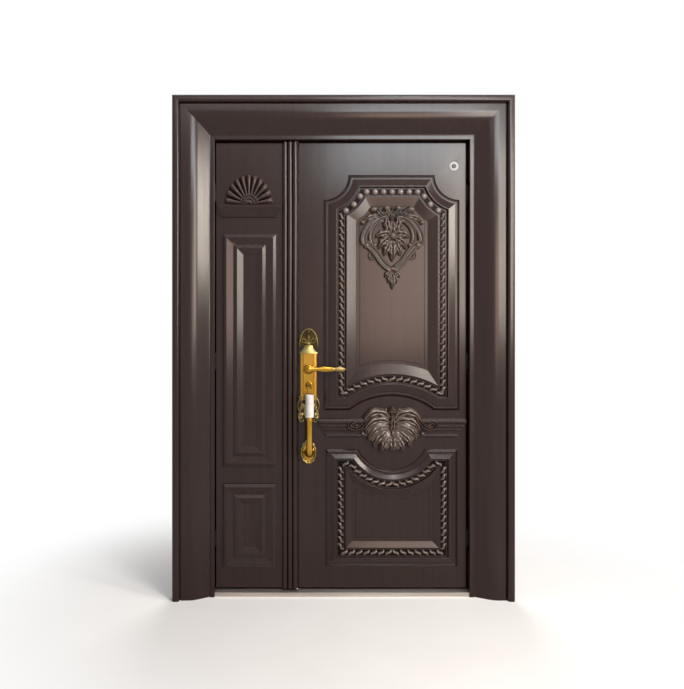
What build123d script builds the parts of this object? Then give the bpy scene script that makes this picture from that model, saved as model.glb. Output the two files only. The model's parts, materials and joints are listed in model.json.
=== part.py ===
from build123d import *
import math
import os

os.makedirs("parts", exist_ok=True)

# Steel fire door with two unequal leaves, in its moulded steel frame.
# Millimetres. X runs to the right, -Y to the front, +Z up. The origin is on the floor, at the middle of
# the opening, in the plane of the wall's face. Both leaves are shut, with every bolt drawn in.

# Overall sizes
OVERALL_WIDTH = 1490.0
OVERALL_HEIGHT = 2200.0
CASING_WIDTH = 183.0
FRAME_BACK = 120.0
LEAF_FRONT = 10.0
LEAF_THICKNESS = 70.0
MEETING_X = -190.0

# Sheet gauges and clearances
FRAME_SHEET = 2.0
LEAF_SHEET = 1.5
SILL_SHEET = 1.5
LEAF_GAP = 4.0
MEETING_GAP = 5.0
RUNNING_FIT = 0.05
SLIDE_FIT = 0.5
SEAT_GAP = 0.3
OVERRUN = 4.0

# Casing section, from the edge of the opening outwards
STOP_WIDTH = 16.0
STOP_GAP = 6.0
BACK_FLANGE = 70.0
LIP_FRONT = 22.0
LIP_WIDTH = 18.0
LIP_STEP = 5.0
LIP_FLAT = 4.0
OGEE_WIDTH = 121.0
OGEE_RISE = 43.0
GROOVE_MARGIN = 3.0
GROOVE_WIDTH = 5.0
GROOVE_DEPTH = 7.0
BAND_FRONT = 75.0
BAND_ROUND = 11.0
WALL_FLANGE = 18.0
FIXING_BORE = 6.0
FIXING_HEIGHTS = (520.0, 1520.0)

# Sill section
SILL_FRONT = 16.0
SILL_NOSE = 19.0
SILL_TOP = 26.0
SILL_SLOPE_END = 8.0
SILL_STOP_TOP = 46.0
LEAF_BOTTOM = 32.0
SEAL_WIDTH = 12.0
SEAL_MARGIN = 2.0

# Concealed hinges
LOWER_HINGE = 250.0
MIDDLE_HINGE = 1040.0
UPPER_HINGE_MARGIN = 223.0
HINGE_INSET = 11.5
HINGE_DEPTH = 6.0
BARREL_RADIUS = 8.0
PIN_RADIUS = 4.0
BARREL_HALF = 42.0
ARM_HALF = 36.0
ARM_THICKNESS = 7.0
ARM_REACH = 33.0
EDGE_PLATE = 2.5
EDGE_PLATE_WIDTH = 46.0
HINGE_BOX_WALL = 4.0
HINGE_BOX_DEPTH = 24.0
HINGE_BOX_FRONT = 13.0
HINGE_BOX_BACK = 66.0
HINGE_SLOT_FRONT = 17.0
HINGE_SLOT_BACK = 40.0

# Meeting edges: each is bevelled so that either leaf can swing first
MAIN_BEVEL = 3.0
SIDE_BEVEL = 9.0
STRIP_WIDTH = 67.0
STRIP_BASE = 4.0
STRIP_REEDS = 3
SIDE_SEAL_OUT = 2.4
SIDE_SEAL_START = 3.0
MAIN_SEAL_OUT = 1.6
MAIN_SEAL_START = 14.0
MEETING_SEAL_WIDTH = 7.0
MEETING_SEAL_DEPTH = 4.0

# Main leaf: its panels stand to the right of its middle, clear of the handles
PANEL_SHIFT = 40.0
# Main leaf, upper raised panel
UPPER_STILE = 72.0
UPPER_BOTTOM = 821.0
UPPER_TOP_MARGIN = 145.0
SCOOP_RADIUS = 110.0
ARCH_HALF_CHORD = 187.0
ARCH_RISE = 63.0
# Main leaf, lower raised panel
LOWER_STILE = 81.0
LOWER_BOTTOM = 126.0
LOWER_TOP = 650.0
NOTCH_HALF_CHORD = 148.0
NOTCH_SAG = 92.0
# Moulding of the two main panels: inset from the outline, height above the leaf
EDGE_INSET = 14.0
EDGE_HEIGHT = 17.0
CREST_INSET = 32.0
CREST_FLAT = 6.0
CREST_HEIGHT = 22.0
UPPER_CHANNEL_INSET = 60.0
LOWER_CHANNEL_INSET = 48.0
CHANNEL_HEIGHT = 9.0
CHANNEL_WIDTH = 34.0
UPPER_FIELD_RUN = 50.0
LOWER_FIELD_RUN = 34.0
FIELD_HEIGHT = 20.0

# Rope and pearl rows in the channels
ROPE_BASE = 2.5
ROPE_WIDTH = 24.0
ROPE_PITCH = 36.0
ROPE_LENGTH = 33.0
ROPE_HEIGHT = 9.0
ROPE_SLANT = 38.0
PEARL_PITCH = 39.0
PEARL_RADIUS = 13.0

# Rail across the main leaf
RAIL_BOTTOM = 704.0
RAIL_TOP = 784.0
RAIL_STILE = 48.0
RAIL_SLANT = 39.0
RAIL_CAP = 18.0
RAIL_BEAD = 12.0
RAIL_OUT = 24.0
RAIL_NECK_OUT = 9.0
RAIL_BEAD_OUT = 14.0

# Side leaf, panels and shelf
SIDE_PANEL_SHIFT = 2.0
SIDE_STILE = 29.0
TALL_BOTTOM = 571.0
TALL_TOP_MARGIN = 409.0
SHORT_BOTTOM = 123.0
SHORT_TOP = 496.0
SIDE_EDGE_INSET = 10.0
SIDE_EDGE_HEIGHT = 8.0
SIDE_CREST_INSET = 31.0
SIDE_CREST_HEIGHT = 18.0
SIDE_LEDGE_INSET = 54.0
SIDE_CHANNEL_INSET = 60.0
SIDE_CHANNEL_HEIGHT = 7.0
SIDE_CHANNEL_WIDTH = 8.0
SIDE_FIELD_RUN = 28.0
SIDE_FIELD_HEIGHT = 18.0
SHELF_TOP_MARGIN = 276.0
SHELF_HEIGHT = 57.0
SHELF_SHIFT = 1.0
SHELF_STILE = 8.0
SHELF_SLANT = 19.0
SHELF_CAP = 15.0
SHELF_BEAD = 10.0
SHELF_OUT = 24.0
SHELF_NECK_OUT = 9.0
SHELF_BEAD_OUT = 13.0

# Lock, seen from the meeting edge
HANDLE_X = -146.0
LEVER_Z = 1006.0
CYLINDER_Z = 932.0
LOCK_PLANE = 45.0
FACEPLATE_SINK = 2.1
FACEPLATE = 3.0
FACEPLATE_HALF = 12.0
LOCK_BOTTOM = 846.0
LOCK_TOP = 1080.0
LOCK_BACK = -78.0
LOCK_HALF = 11.0
LOCK_WALL = 2.0
BOLT_HEIGHTS = (858.0, 877.0, 896.0)
BOLT_RADIUS = 7.0
BOLT_THROW = 25.0
LATCH_Z = 1050.0
LATCH_HALF_HEIGHT = 13.0
LATCH_HALF_WIDTH = 6.0
LATCH_BEVEL = 5.0
CARRIAGE_LEFT = -158.0
CARRIAGE_RIGHT = -102.0
CARRIAGE_HALF = 2.0
CARRIAGE_MARGIN = 10.0
ROD_X = -90.0
ROD_RADIUS = 6.0
ROD_TIP = 1.0
ROD_OVERLAP = 34.0
STRIKE_SINK = 1.5

# Flush bolts in the edge of the side leaf
FLUSH_SETBACK = 26.0
FLUSH_LENGTH = 300.0
FLUSH_TRAVEL = 20.0
FLUSH_LUG = 10.0
FLUSH_PLATE_HALF = 8.0
FLUSH_PLATE_LENGTH = 170.0
FLUSH_PLATE_MARGIN = 90.0

# Spindle, levers and key cylinder
SPINDLE_SIDE = 8.0
SPINDLE_HOLE = 7.0
NECK_RADIUS = 10.0
HUB_RADIUS = 14.0
HUB_OUT = 30.0
BORE_REACH = 80.0
LEVER_LENGTH = 158.0
LEVER_THICKNESS = 12.0
LEVER_ROOT_HALF = 12.0
LEVER_WAIST_HALF = 7.0
LEVER_SCROLL_RADIUS = 13.0
ROSE_RADIUS = 24.0
ROSE_OUT = 8.0
CYLINDER_RADIUS = 8.5
CYLINDER_TAIL_HALF = 5.0
CYLINDER_TAIL = 24.0
CYLINDER_PROUD = 3.0
PLUG_RADIUS = 5.5
KEYWAY_HALF = 1.0
KEYWAY_HEIGHT_HALF = 3.5
KEYWAY_DEPTH = 22.0
ESCUTCHEON_RADIUS = 15.5
ESCUTCHEON_OUT = 4.0
TURN_RADIUS = 15.0
TURN_NECK = 8.0
TURN_OUT = 22.0
TURN_HALF = 4.0

# Handle plate on the front, from its crown down to its leaves
PLATE_HALF = 36.0
PLATE_TOP = 1078.0
PLATE_BOTTOM = 866.0
PLATE_OUT = 9.0
PLATE_BEVEL = 4.0
CAP_TOP = 1110.0
CAP_HALF = 39.0
CAP_TOP_HALF = 17.0
CAP_OUT = 15.0
CROWN_TOP = 1183.0
CROWN_HALF = 42.0
CROWN_OUT = 13.0
LEAVES_BOTTOM = 763.0
LEAVES_HALF = 45.0
LEAVES_OUT = 12.0
# Pull grip, its foot and the soft sleeve on its upper end
GRIP_RADIUS = 14.0
GRIP_OUT = 62.0
GRIP_BEND = 24.0
GRIP_TOP = 872.0
FOOT_Z = 634.0
FOOT_HALF = 39.5
FOOT_HALF_HEIGHT = 56.0
FOOT_OUT = 11.0
FOOT_BOSS_RADIUS = 21.0
FOOT_BOSS_OUT = 18.0
FOOT_LOBES = 10
SLEEVE_RADIUS = 19.0
SLEEVE_TOP = 895.0
SLEEVE_BOTTOM = 797.0
# Plate on the inside face
INNER_PLATE_HALF = 34.0
INNER_PLATE_TOP = 1100.0
INNER_PLATE_BOTTOM = 860.0
INNER_PLATE_OUT = 8.0

# Door viewer
VIEWER_SIDE_MARGIN = 57.0
VIEWER_TOP_MARGIN = 106.0
VIEWER_FLANGE = 21.0
VIEWER_FLANGE_OUT = 5.0
VIEWER_TUBE = 13.0
VIEWER_INNER_TUBE = 11.0
VIEWER_BORE = 8.5
VIEWER_LENS_OUT = 2.5
VIEWER_LENS = 9.0
VIEWER_OVERLAP = 30.0
VIEWER_BACK_FLANGE = 17.0

# Carved pieces
CARTOUCHE_DROP = 140.0
CARTOUCHE_HEIGHT = 372.0
CARTOUCHE_HALF = 146.0
CARTOUCHE_OUT = 17.0
ROSETTE_RISE = 54.0
ROSETTE_HEIGHT = 203.0
ROSETTE_HALF = 200.0
ROSETTE_OUT = 16.0
SHELL_HALF = 109.0
SHELL_HEIGHT = 133.0
SHELL_OUT = 20.0
SHELL_GROUND = 4.0
SHELL_FLUTES = 13
SHELL_HUB = 40.0

# Places worked out from the sizes above
OPENING_HALF = OVERALL_WIDTH / 2 - CASING_WIDTH
OPENING_TOP = OVERALL_HEIGHT - CASING_WIDTH
LEAF_BACK = LEAF_FRONT + LEAF_THICKNESS
LEAF_TOP = OPENING_TOP - LEAF_GAP
LEAF_EDGE = OPENING_HALF - LEAF_GAP
STOP_FRONT = LEAF_BACK + STOP_GAP
SIDE_MEETING_X = MEETING_X - MEETING_GAP
HINGE_X = OPENING_HALF + HINGE_INSET
FACE_X = MEETING_X + FACEPLATE_SINK
CASE_LEFT = FACE_X + FACEPLATE
FLUSH_X = SIDE_MEETING_X - FLUSH_SETBACK
FIXING_Y = (STOP_FRONT + FRAME_BACK) / 2
HINGE_HEIGHTS = {"lower": LOWER_HINGE, "middle": MIDDLE_HINGE, "upper": LEAF_TOP - UPPER_HINGE_MARGIN}
MAIN_HALF = (LEAF_EDGE - MEETING_X) / 2
MAIN_PANEL_X = MEETING_X + MAIN_HALF + PANEL_SHIFT
UPPER_HALF = MAIN_HALF - UPPER_STILE
UPPER_TOP = LEAF_TOP - UPPER_TOP_MARGIN
LOWER_HALF = MAIN_HALF - LOWER_STILE
RAIL_HALF_TOP = MAIN_HALF - RAIL_STILE
RAIL_HALF_BOTTOM = RAIL_HALF_TOP - RAIL_SLANT
SIDE_FACE_HALF = (SIDE_MEETING_X - STRIP_WIDTH + LEAF_EDGE) / 2
SIDE_FACE_X = SIDE_FACE_HALF - LEAF_EDGE
SIDE_PANEL_X = SIDE_FACE_X + SIDE_PANEL_SHIFT
SIDE_HALF = SIDE_FACE_HALF - SIDE_STILE
TALL_TOP = LEAF_TOP - TALL_TOP_MARGIN
SHELF_X = SIDE_FACE_X - SHELF_SHIFT
SHELF_TOP = LEAF_TOP - SHELF_TOP_MARGIN
SHELF_BOTTOM = SHELF_TOP - SHELF_HEIGHT
SHELF_HALF_TOP = SIDE_FACE_HALF - SHELF_STILE
SHELF_HALF_BOTTOM = SHELF_HALF_TOP - SHELF_SLANT
VIEWER_X = LEAF_EDGE - VIEWER_SIDE_MARGIN
VIEWER_Z = LEAF_TOP - VIEWER_TOP_MARGIN
CARTOUCHE_BOTTOM = UPPER_TOP - CARTOUCHE_DROP - CARTOUCHE_HEIGHT
ROSETTE_BOTTOM = RAIL_TOP + ROSETTE_RISE - ROSETTE_HEIGHT


def save(name, shape):
    """Write one piece as a node of its own."""
    export_step(shape, f"parts/{name}.step")


def block(low, high):
    """A box between two corners."""
    size = [b - a for a, b in zip(low, high)]
    return Pos(*low) * Box(*size, align=(Align.MIN, Align.MIN, Align.MIN))


def rod(radius, start, end):
    """A round bar between two points."""
    run = Vector(*end) - Vector(*start)
    bar = Cylinder(radius, run.length, align=(Align.CENTER, Align.CENTER, Align.MIN))
    return Plane(origin=start, z_dir=run) * bar


def front_plane(height=0.0, base=LEAF_FRONT):
    """A plane that faces the viewer: local x is X, local y is Z, and height is towards the front."""
    return Plane(origin=(0, base - height, 0), x_dir=(1, 0, 0), z_dir=(0, -1, 0))


def path_edges(path):
    """Edges along a path of points; a pair of points is an arc through the first to the second."""
    edges = []
    here = path[0]
    for step in path[1:]:
        if isinstance(step[0], tuple):
            edges.append(ThreePointArc(here, step[0], step[1]))
            here = step[1]
        else:
            edges.append(Line(here, step))
            here = step
    return edges


def closed_face(path):
    """A flat face inside a closed path, which is given without its last straight run."""
    last = path[-1][1] if isinstance(path[-1][0], tuple) else path[-1]
    return make_face(path_edges(path) + [Line(last, path[0])])


def mirrored(shape):
    """The same piece on the other side of the opening."""
    return mirror(shape, about=Plane.YZ)


def quarter(centre, radius, angle):
    """The point of a circle at an angle in degrees."""
    turn = math.radians(angle)
    return (centre[0] + radius * math.cos(turn), centre[1] + radius * math.sin(turn))


# The frame

def casing_path(depth):
    """One face of the folded casing sheet, as (distance from the opening, Y), this deep in the sheet."""
    lip_back = LIP_FRONT - LIP_STEP
    cove_start = LIP_WIDTH + LIP_FLAT
    ogee_end = cove_start + OGEE_WIDTH
    ogee_front = lip_back + OGEE_RISE
    groove_near = ogee_end + GROOVE_MARGIN
    groove_far = groove_near + GROOVE_WIDTH
    groove_floor = ogee_front - GROOVE_DEPTH
    # two equal arcs, level at both ends, make the ogee
    half_run = OGEE_WIDTH / 2
    half_rise = OGEE_RISE / 2
    radius = (half_run ** 2 + half_rise ** 2) / (2 * half_rise)
    spread = math.degrees(math.asin(half_run / radius))
    hollow = (cove_start, -lip_back - radius)
    crown = (ogee_end, -ogee_front + radius)
    near_round = (groove_far + BAND_ROUND, -BAND_FRONT + BAND_ROUND)
    far_round = (CASING_WIDTH - BAND_ROUND, -BAND_FRONT + BAND_ROUND)
    return [
        (BACK_FLANGE, FRAME_BACK - depth),
        (-STOP_WIDTH + depth, FRAME_BACK - depth),
        (-STOP_WIDTH + depth, STOP_FRONT + depth),
        (depth, STOP_FRONT + depth),
        (depth, -LIP_FRONT + depth),
        (LIP_WIDTH - depth, -LIP_FRONT + depth),
        (LIP_WIDTH - depth, -lip_back + depth),
        (cove_start, -lip_back + depth),
        (quarter(hollow, radius + depth, 90 - spread / 2), quarter(hollow, radius + depth, 90 - spread)),
        (quarter(crown, radius - depth, -90 - spread / 2), quarter(crown, radius - depth, -90)),
        (groove_near - depth, -ogee_front + depth),
        (groove_near - depth, -groove_floor + depth),
        (groove_far + depth, -groove_floor + depth),
        (groove_far + depth, near_round[1]),
        (quarter(near_round, BAND_ROUND - depth, 225), quarter(near_round, BAND_ROUND - depth, 270)),
        (far_round[0], -BAND_FRONT + depth),
        (quarter(far_round, BAND_ROUND - depth, 315), quarter(far_round, BAND_ROUND - depth, 360)),
        (CASING_WIDTH - depth, -depth),
        (CASING_WIDTH - WALL_FLANGE, -depth),
    ]


def casing_face():
    """The folded sheet in section."""
    outer = casing_path(0)
    inner = casing_path(FRAME_SHEET)
    ends = [Line(outer[0], inner[0]), Line(outer[-1], inner[-1])]
    return make_face(path_edges(outer) + path_edges(inner) + ends)


def mitre_plane(side):
    """The mitre between the head and one jamb; its normal points into the jamb."""
    return Plane(origin=(side * OPENING_HALF, 0, OPENING_TOP), z_dir=(side, 0, -1))


def right_jamb():
    plane = Plane(origin=(OPENING_HALF, 0, 0), x_dir=(1, 0, 0), z_dir=(0, 0, 1))
    jamb = extrude(plane * casing_face(), OVERALL_HEIGHT, dir=(0, 0, 1))
    jamb = split(jamb, bisect_by=mitre_plane(1), keep=Keep.TOP)
    for height in HINGE_HEIGHTS.values():
        jamb -= block(
            (OPENING_HALF - OVERRUN, -HINGE_SLOT_FRONT, height - BARREL_HALF),
            (OPENING_HALF + OVERRUN, HINGE_SLOT_BACK, height + BARREL_HALF),
        )
    stop_x = OPENING_HALF - STOP_WIDTH
    for height in FIXING_HEIGHTS:
        jamb -= rod(FIXING_BORE, (stop_x - OVERRUN, FIXING_Y, height), (stop_x + OVERRUN, FIXING_Y, height))
    return jamb


def head_casing():
    plane = Plane(origin=(OVERALL_WIDTH / 2, 0, OPENING_TOP), x_dir=(0, 0, 1), z_dir=(-1, 0, 0))
    head = extrude(plane * casing_face(), OVERALL_WIDTH, dir=(-1, 0, 0))
    for side in (1, -1):
        head = split(head, bisect_by=mitre_plane(side), keep=Keep.BOTTOM)
    for x in (ROD_X, FLUSH_X):
        low = (x, LOCK_PLANE, OPENING_TOP - OVERRUN)
        high = (x, LOCK_PLANE, OPENING_TOP + OVERRUN)
        head -= rod(ROD_RADIUS + SLIDE_FIT, low, high)
    return head


def sill_face(inset):
    """The sill in section, as (Y, Z), drawn in by the inset on every side."""
    slope = (SILL_TOP - SILL_NOSE) / (SILL_FRONT + SILL_SLOPE_END)
    points = [
        (-SILL_FRONT + inset, inset),
        (-SILL_FRONT + inset, SILL_NOSE - inset + slope * inset),
        (SILL_SLOPE_END, SILL_TOP - inset),
        (STOP_FRONT + inset, SILL_TOP - inset),
        (STOP_FRONT + inset, SILL_STOP_TOP - inset),
        (FRAME_BACK - inset, SILL_STOP_TOP - inset),
        (FRAME_BACK - inset, inset),
    ]
    return closed_face(points)


def sill():
    """A folded stainless threshold, hollow, notched round the stops of the jambs."""
    half = OPENING_HALF - SEAT_GAP
    plane = Plane(origin=(-half, 0, 0), x_dir=(0, 1, 0), z_dir=(1, 0, 0))
    shape = extrude(plane * (sill_face(0) - sill_face(SILL_SHEET)), 2 * half, dir=(1, 0, 0))
    for side in (-1, 1):
        near = side * (OPENING_HALF - STOP_WIDTH - SEAT_GAP)
        far = side * (OPENING_HALF + OVERRUN)
        shape -= block(
            (min(near, far), STOP_FRONT - SEAT_GAP, -OVERRUN),
            (max(near, far), FRAME_BACK + OVERRUN, SILL_STOP_TOP + OVERRUN),
        )
    for x in (ROD_X, FLUSH_X):
        low = (x, LOCK_PLANE, SILL_TOP - OVERRUN)
        high = (x, LOCK_PLANE, SILL_TOP + OVERRUN)
        shape -= rod(ROD_RADIUS + SLIDE_FIT, low, high)
    return shape


def frame_seal():
    """The rubber strip all round the stop, just behind the leaves."""
    front = LEAF_BACK + SEAT_GAP
    half = OPENING_HALF - SEAL_MARGIN
    low = SILL_TOP + SEAL_MARGIN
    high = OPENING_TOP - SEAL_MARGIN
    outer = block((-half, front, low), (half, STOP_FRONT, high))
    return outer - block(
        (-half + SEAL_WIDTH, front - OVERRUN, low + SEAL_WIDTH),
        (half - SEAL_WIDTH, STOP_FRONT + OVERRUN, high - SEAL_WIDTH),
    )


# The hinges

def hinge_box(height):
    """The steel box behind the reveal that holds both ends of a hinge pin."""
    left = OPENING_HALF + FRAME_SHEET
    inner_half = BARREL_HALF + SLIDE_FIT
    outer_half = inner_half + HINGE_BOX_WALL
    box = block(
        (left, -HINGE_BOX_FRONT, height - outer_half),
        (left + HINGE_BOX_DEPTH, HINGE_BOX_BACK, height + outer_half),
    )
    box -= block(
        (left - OVERRUN, -HINGE_BOX_FRONT - OVERRUN, height - inner_half),
        (left + HINGE_BOX_DEPTH - HINGE_BOX_WALL, HINGE_BOX_BACK - HINGE_BOX_WALL, height + inner_half),
    )
    return box - hinge_pin(height, PIN_RADIUS, OVERRUN)


def hinge_pin(height, radius, extra=0.0):
    """A pin through the box, or with extra length the cutter for its bore."""
    half = BARREL_HALF + SLIDE_FIT + HINGE_BOX_WALL + extra
    return rod(radius, (HINGE_X, -HINGE_DEPTH, height - half), (HINGE_X, -HINGE_DEPTH, height + half))


def hinge_arm(height):
    """The swan-neck arm: barrel on the pin, neck through the slot, plate on the edge of the leaf."""
    axis_low = (HINGE_X, -HINGE_DEPTH, height - BARREL_HALF)
    axis_high = (HINGE_X, -HINGE_DEPTH, height + BARREL_HALF)
    half = ARM_THICKNESS / 2
    arm_back = ARM_REACH - HINGE_DEPTH
    low = height - ARM_HALF
    high = height + ARM_HALF
    arm = rod(BARREL_RADIUS, axis_low, axis_high)
    arm += block((HINGE_X - half, -HINGE_DEPTH, low), (HINGE_X + half, arm_back, high))
    arm += block((LEAF_EDGE, arm_back - ARM_THICKNESS, low), (HINGE_X + half, arm_back, high))
    plate_front = arm_back - EDGE_PLATE_WIDTH / 3
    plate_back = plate_front + EDGE_PLATE_WIDTH
    arm += block((LEAF_EDGE, plate_front, low), (LEAF_EDGE + EDGE_PLATE, plate_back, high))
    return arm - hinge_pin(height, PIN_RADIUS + RUNNING_FIT, OVERRUN)


# The leaves

def meeting_edge(side, y):
    """X of a leaf's bevelled meeting edge at a depth; side is 1 for the main leaf, -1 for the side leaf."""
    share = (y - LEAF_FRONT) / LEAF_THICKNESS
    if side > 0:
        return MEETING_X + MAIN_BEVEL * share
    return SIDE_MEETING_X - SIDE_BEVEL * share


def leaf_body(side, inset, near, far):
    """The volume of a leaf between two depths, drawn in from its four edges by the inset."""
    hinge = side * (LEAF_EDGE - inset)
    plan = closed_face([
        (meeting_edge(side, near) + side * inset, near),
        (hinge, near),
        (hinge, far),
        (meeting_edge(side, far) + side * inset, far),
    ])
    low = LEAF_BOTTOM + inset
    return extrude(Pos(0, 0, low) * plan, LEAF_TOP - inset - low, dir=(0, 0, 1))


def sagitta_radius(half_chord, rise):
    """Radius of an arc from half its chord and its rise."""
    return (half_chord ** 2 + rise ** 2) / (2 * rise)


def upper_panel():
    """Tall panel with scooped top corners and an arched foot."""
    arch = sagitta_radius(ARCH_HALF_CHORD, ARCH_RISE)
    return {
        "x": MAIN_PANEL_X,
        "half": UPPER_HALF,
        "low": UPPER_BOTTOM,
        "high": UPPER_TOP,
        "rounds": [
            (MAIN_PANEL_X - UPPER_HALF, UPPER_TOP, SCOOP_RADIUS),
            (MAIN_PANEL_X + UPPER_HALF, UPPER_TOP, SCOOP_RADIUS),
            (MAIN_PANEL_X, UPPER_BOTTOM + ARCH_RISE - arch, arch),
        ],
    }


def lower_panel():
    """Low panel whose top edge sags in the middle, round the ornament of the rail."""
    notch = sagitta_radius(NOTCH_HALF_CHORD, NOTCH_SAG)
    return {
        "x": MAIN_PANEL_X,
        "half": LOWER_HALF,
        "low": LOWER_BOTTOM,
        "high": LOWER_TOP,
        "rounds": [(MAIN_PANEL_X, LOWER_TOP - NOTCH_SAG + notch, notch)],
    }


def side_panel(low, high):
    """A plain oblong panel of the side leaf."""
    return {"x": SIDE_PANEL_X, "half": SIDE_HALF, "low": low, "high": high, "rounds": []}


def front_cone(x, z, low_radius, high_radius, low, high):
    """A cone towards the viewer between two heights, or a cylinder where its radii are the same."""
    align = (Align.CENTER, Align.CENTER, Align.MIN)
    if low_radius == high_radius:
        body = Cylinder(low_radius, high - low, align=align)
    else:
        body = Cone(low_radius, high_radius, high - low, align=align)
    return front_plane(low) * Pos(x, z) * body


def panel_layer(panel, low, high):
    """One layer of a raised panel; low and high are (inset, height) and the sides slope between them."""
    middle = (panel["low"] + panel["high"]) / 2
    faces = []
    for inset, height in (low, high):
        width = 2 * (panel["half"] - inset)
        tall = panel["high"] - panel["low"] - 2 * inset
        faces.append(front_plane(height) * Pos(panel["x"], middle) * Rectangle(width, tall))
    layer = loft(faces, ruled=True)
    reach = OVERRUN * (high[0] - low[0]) / (high[1] - low[1])
    for x, z, radius in panel["rounds"]:
        layer -= front_cone(
            x, z, radius + low[0] - reach, radius + high[0] + reach, low[1] - OVERRUN, high[1] + OVERRUN)
    return layer


def raised_panel(panel, edge, crest, ledge, channel, foot, field):
    """Bevelled edge, crest, sunk channel and raised field, each given as (inset, height)."""
    body = panel_layer(panel, (0, 0), edge) + panel_layer(panel, edge, crest)
    body -= panel_layer(panel, channel, ledge)
    return body + panel_layer(panel, foot, field)


def main_raised_panel(panel, channel_inset, field_run):
    foot_inset = channel_inset + CHANNEL_WIDTH
    return raised_panel(
        panel,
        edge=(EDGE_INSET, EDGE_HEIGHT),
        crest=(CREST_INSET, CREST_HEIGHT),
        ledge=(CREST_INSET + CREST_FLAT, CREST_HEIGHT),
        channel=(channel_inset, CHANNEL_HEIGHT),
        foot=(foot_inset, CHANNEL_HEIGHT),
        field=(foot_inset + field_run, FIELD_HEIGHT),
    )


def side_raised_panel(panel):
    foot_inset = SIDE_CHANNEL_INSET + SIDE_CHANNEL_WIDTH
    return raised_panel(
        panel,
        edge=(SIDE_EDGE_INSET, SIDE_EDGE_HEIGHT),
        crest=(SIDE_CREST_INSET, SIDE_CREST_HEIGHT),
        ledge=(SIDE_LEDGE_INSET, SIDE_CREST_HEIGHT),
        channel=(SIDE_CHANNEL_INSET, SIDE_CHANNEL_HEIGHT),
        foot=(foot_inset, SIDE_CHANNEL_HEIGHT),
        field=(foot_inset + SIDE_FIELD_RUN, SIDE_FIELD_HEIGHT),
    )


# height and spread of a hollow moulding, as shares of its own height and spread
COVE_SHARES = ((0.0, 0.0), (0.45, 0.2), (0.8, 0.58), (1.0, 1.0))


def moulding_loft(x, levels):
    """A mitred moulding on the face of a leaf through levels of (Z, half width, height)."""
    faces = []
    for z, half, out in levels:
        faces.append(Plane(origin=(x, LEAF_FRONT - out / 2, z)) * Rectangle(2 * half, out))
    return loft(faces, ruled=True)


def cornice(x, low, high, half_low, half_high, bead, bead_out, neck_out, cap, cap_out, sheet):
    """Bead, cove and cap from the foot of a cornice to its top, or the hollow behind its sheet."""
    half_low -= sheet
    half_high -= sheet
    bead_high = low + bead - sheet
    neck_high = high - cap
    cove = []
    for rise, spread in COVE_SHARES:
        cove.append((
            bead_high + rise * (neck_high - bead_high),
            half_low + spread * (half_high - half_low),
            neck_out + spread * (cap_out - neck_out),
        ))
    body = moulding_loft(x, [(low + sheet, half_low, bead_out), (bead_high, half_low, bead_out)])
    body += moulding_loft(x, cove)
    body += moulding_loft(x, [(neck_high, half_high, cap_out), (high - sheet, half_high, cap_out)])
    return Pos(0, sheet, 0) * body


def rail(sheet=0.0):
    return cornice(
        MAIN_PANEL_X, RAIL_BOTTOM, RAIL_TOP, RAIL_HALF_BOTTOM, RAIL_HALF_TOP,
        RAIL_BEAD, RAIL_BEAD_OUT, RAIL_NECK_OUT, RAIL_CAP, RAIL_OUT, sheet)


def shelf(sheet=0.0):
    return cornice(
        SHELF_X, SHELF_BOTTOM, SHELF_TOP, SHELF_HALF_BOTTOM, SHELF_HALF_TOP,
        SHELF_BEAD, SHELF_BEAD_OUT, SHELF_NECK_OUT, SHELF_CAP, SHELF_OUT, sheet)


def pressed(relief):
    """A relief with sloping sides, and the hollow that pressing leaves behind its sheet."""
    return relief, Pos(0, LEAF_SHEET, 0) * relief


def leaf_layers(side, reliefs):
    """Pressed outer skin with its (relief, hollow) pairs, flat inner skin and flat core of a leaf."""
    skin = leaf_body(side, 0, LEAF_FRONT, LEAF_BACK)
    skin -= leaf_body(side, LEAF_SHEET, LEAF_FRONT + LEAF_SHEET, LEAF_BACK + OVERRUN)
    core = leaf_body(side, LEAF_SHEET, LEAF_FRONT + LEAF_SHEET, LEAF_BACK - LEAF_SHEET)
    for relief, hollow in reliefs:
        skin = skin + relief - hollow
    inner = leaf_body(side, LEAF_SHEET, LEAF_BACK - LEAF_SHEET, LEAF_BACK)
    return skin, inner, core


def meeting_strip():
    """Reeded strip down the meeting edge of the side leaf."""
    left = SIDE_MEETING_X - STRIP_WIDTH
    reed = STRIP_WIDTH / STRIP_REEDS / 2
    front = LEAF_FRONT - STRIP_BASE
    path = [(SIDE_MEETING_X, LEAF_FRONT), (left, LEAF_FRONT), (left, front)]
    for index in range(STRIP_REEDS):
        near = left + 2 * reed * index
        path.append(((near + reed, front - reed), (near + 2 * reed, front)))
    face = Pos(0, 0, LEAF_BOTTOM) * closed_face(path)
    return extrude(face, LEAF_TOP - LEAF_BOTTOM, dir=(0, 0, 1))


def meeting_seal(side):
    """Rubber fin let into a meeting edge; the main leaf's stands behind the side leaf's."""
    start = MAIN_SEAL_START if side > 0 else SIDE_SEAL_START
    front = LEAF_FRONT + start
    back = front + MEETING_SEAL_WIDTH
    tip = MEETING_X - MAIN_SEAL_OUT if side > 0 else SIDE_MEETING_X + SIDE_SEAL_OUT
    root = meeting_edge(side, back) + side * MEETING_SEAL_DEPTH
    return block((min(tip, root), front, LEAF_BOTTOM), (max(tip, root), back, LEAF_TOP))


# The lock and its bolts

def edge_pocket(face_x, inner_x, half, low, high):
    """A plate let into a meeting edge, or the pocket for it where face_x is past the edge."""
    return block(
        (min(face_x, inner_x), LOCK_PLANE - half, low),
        (max(face_x, inner_x), LOCK_PLANE + half, high),
    )


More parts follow.
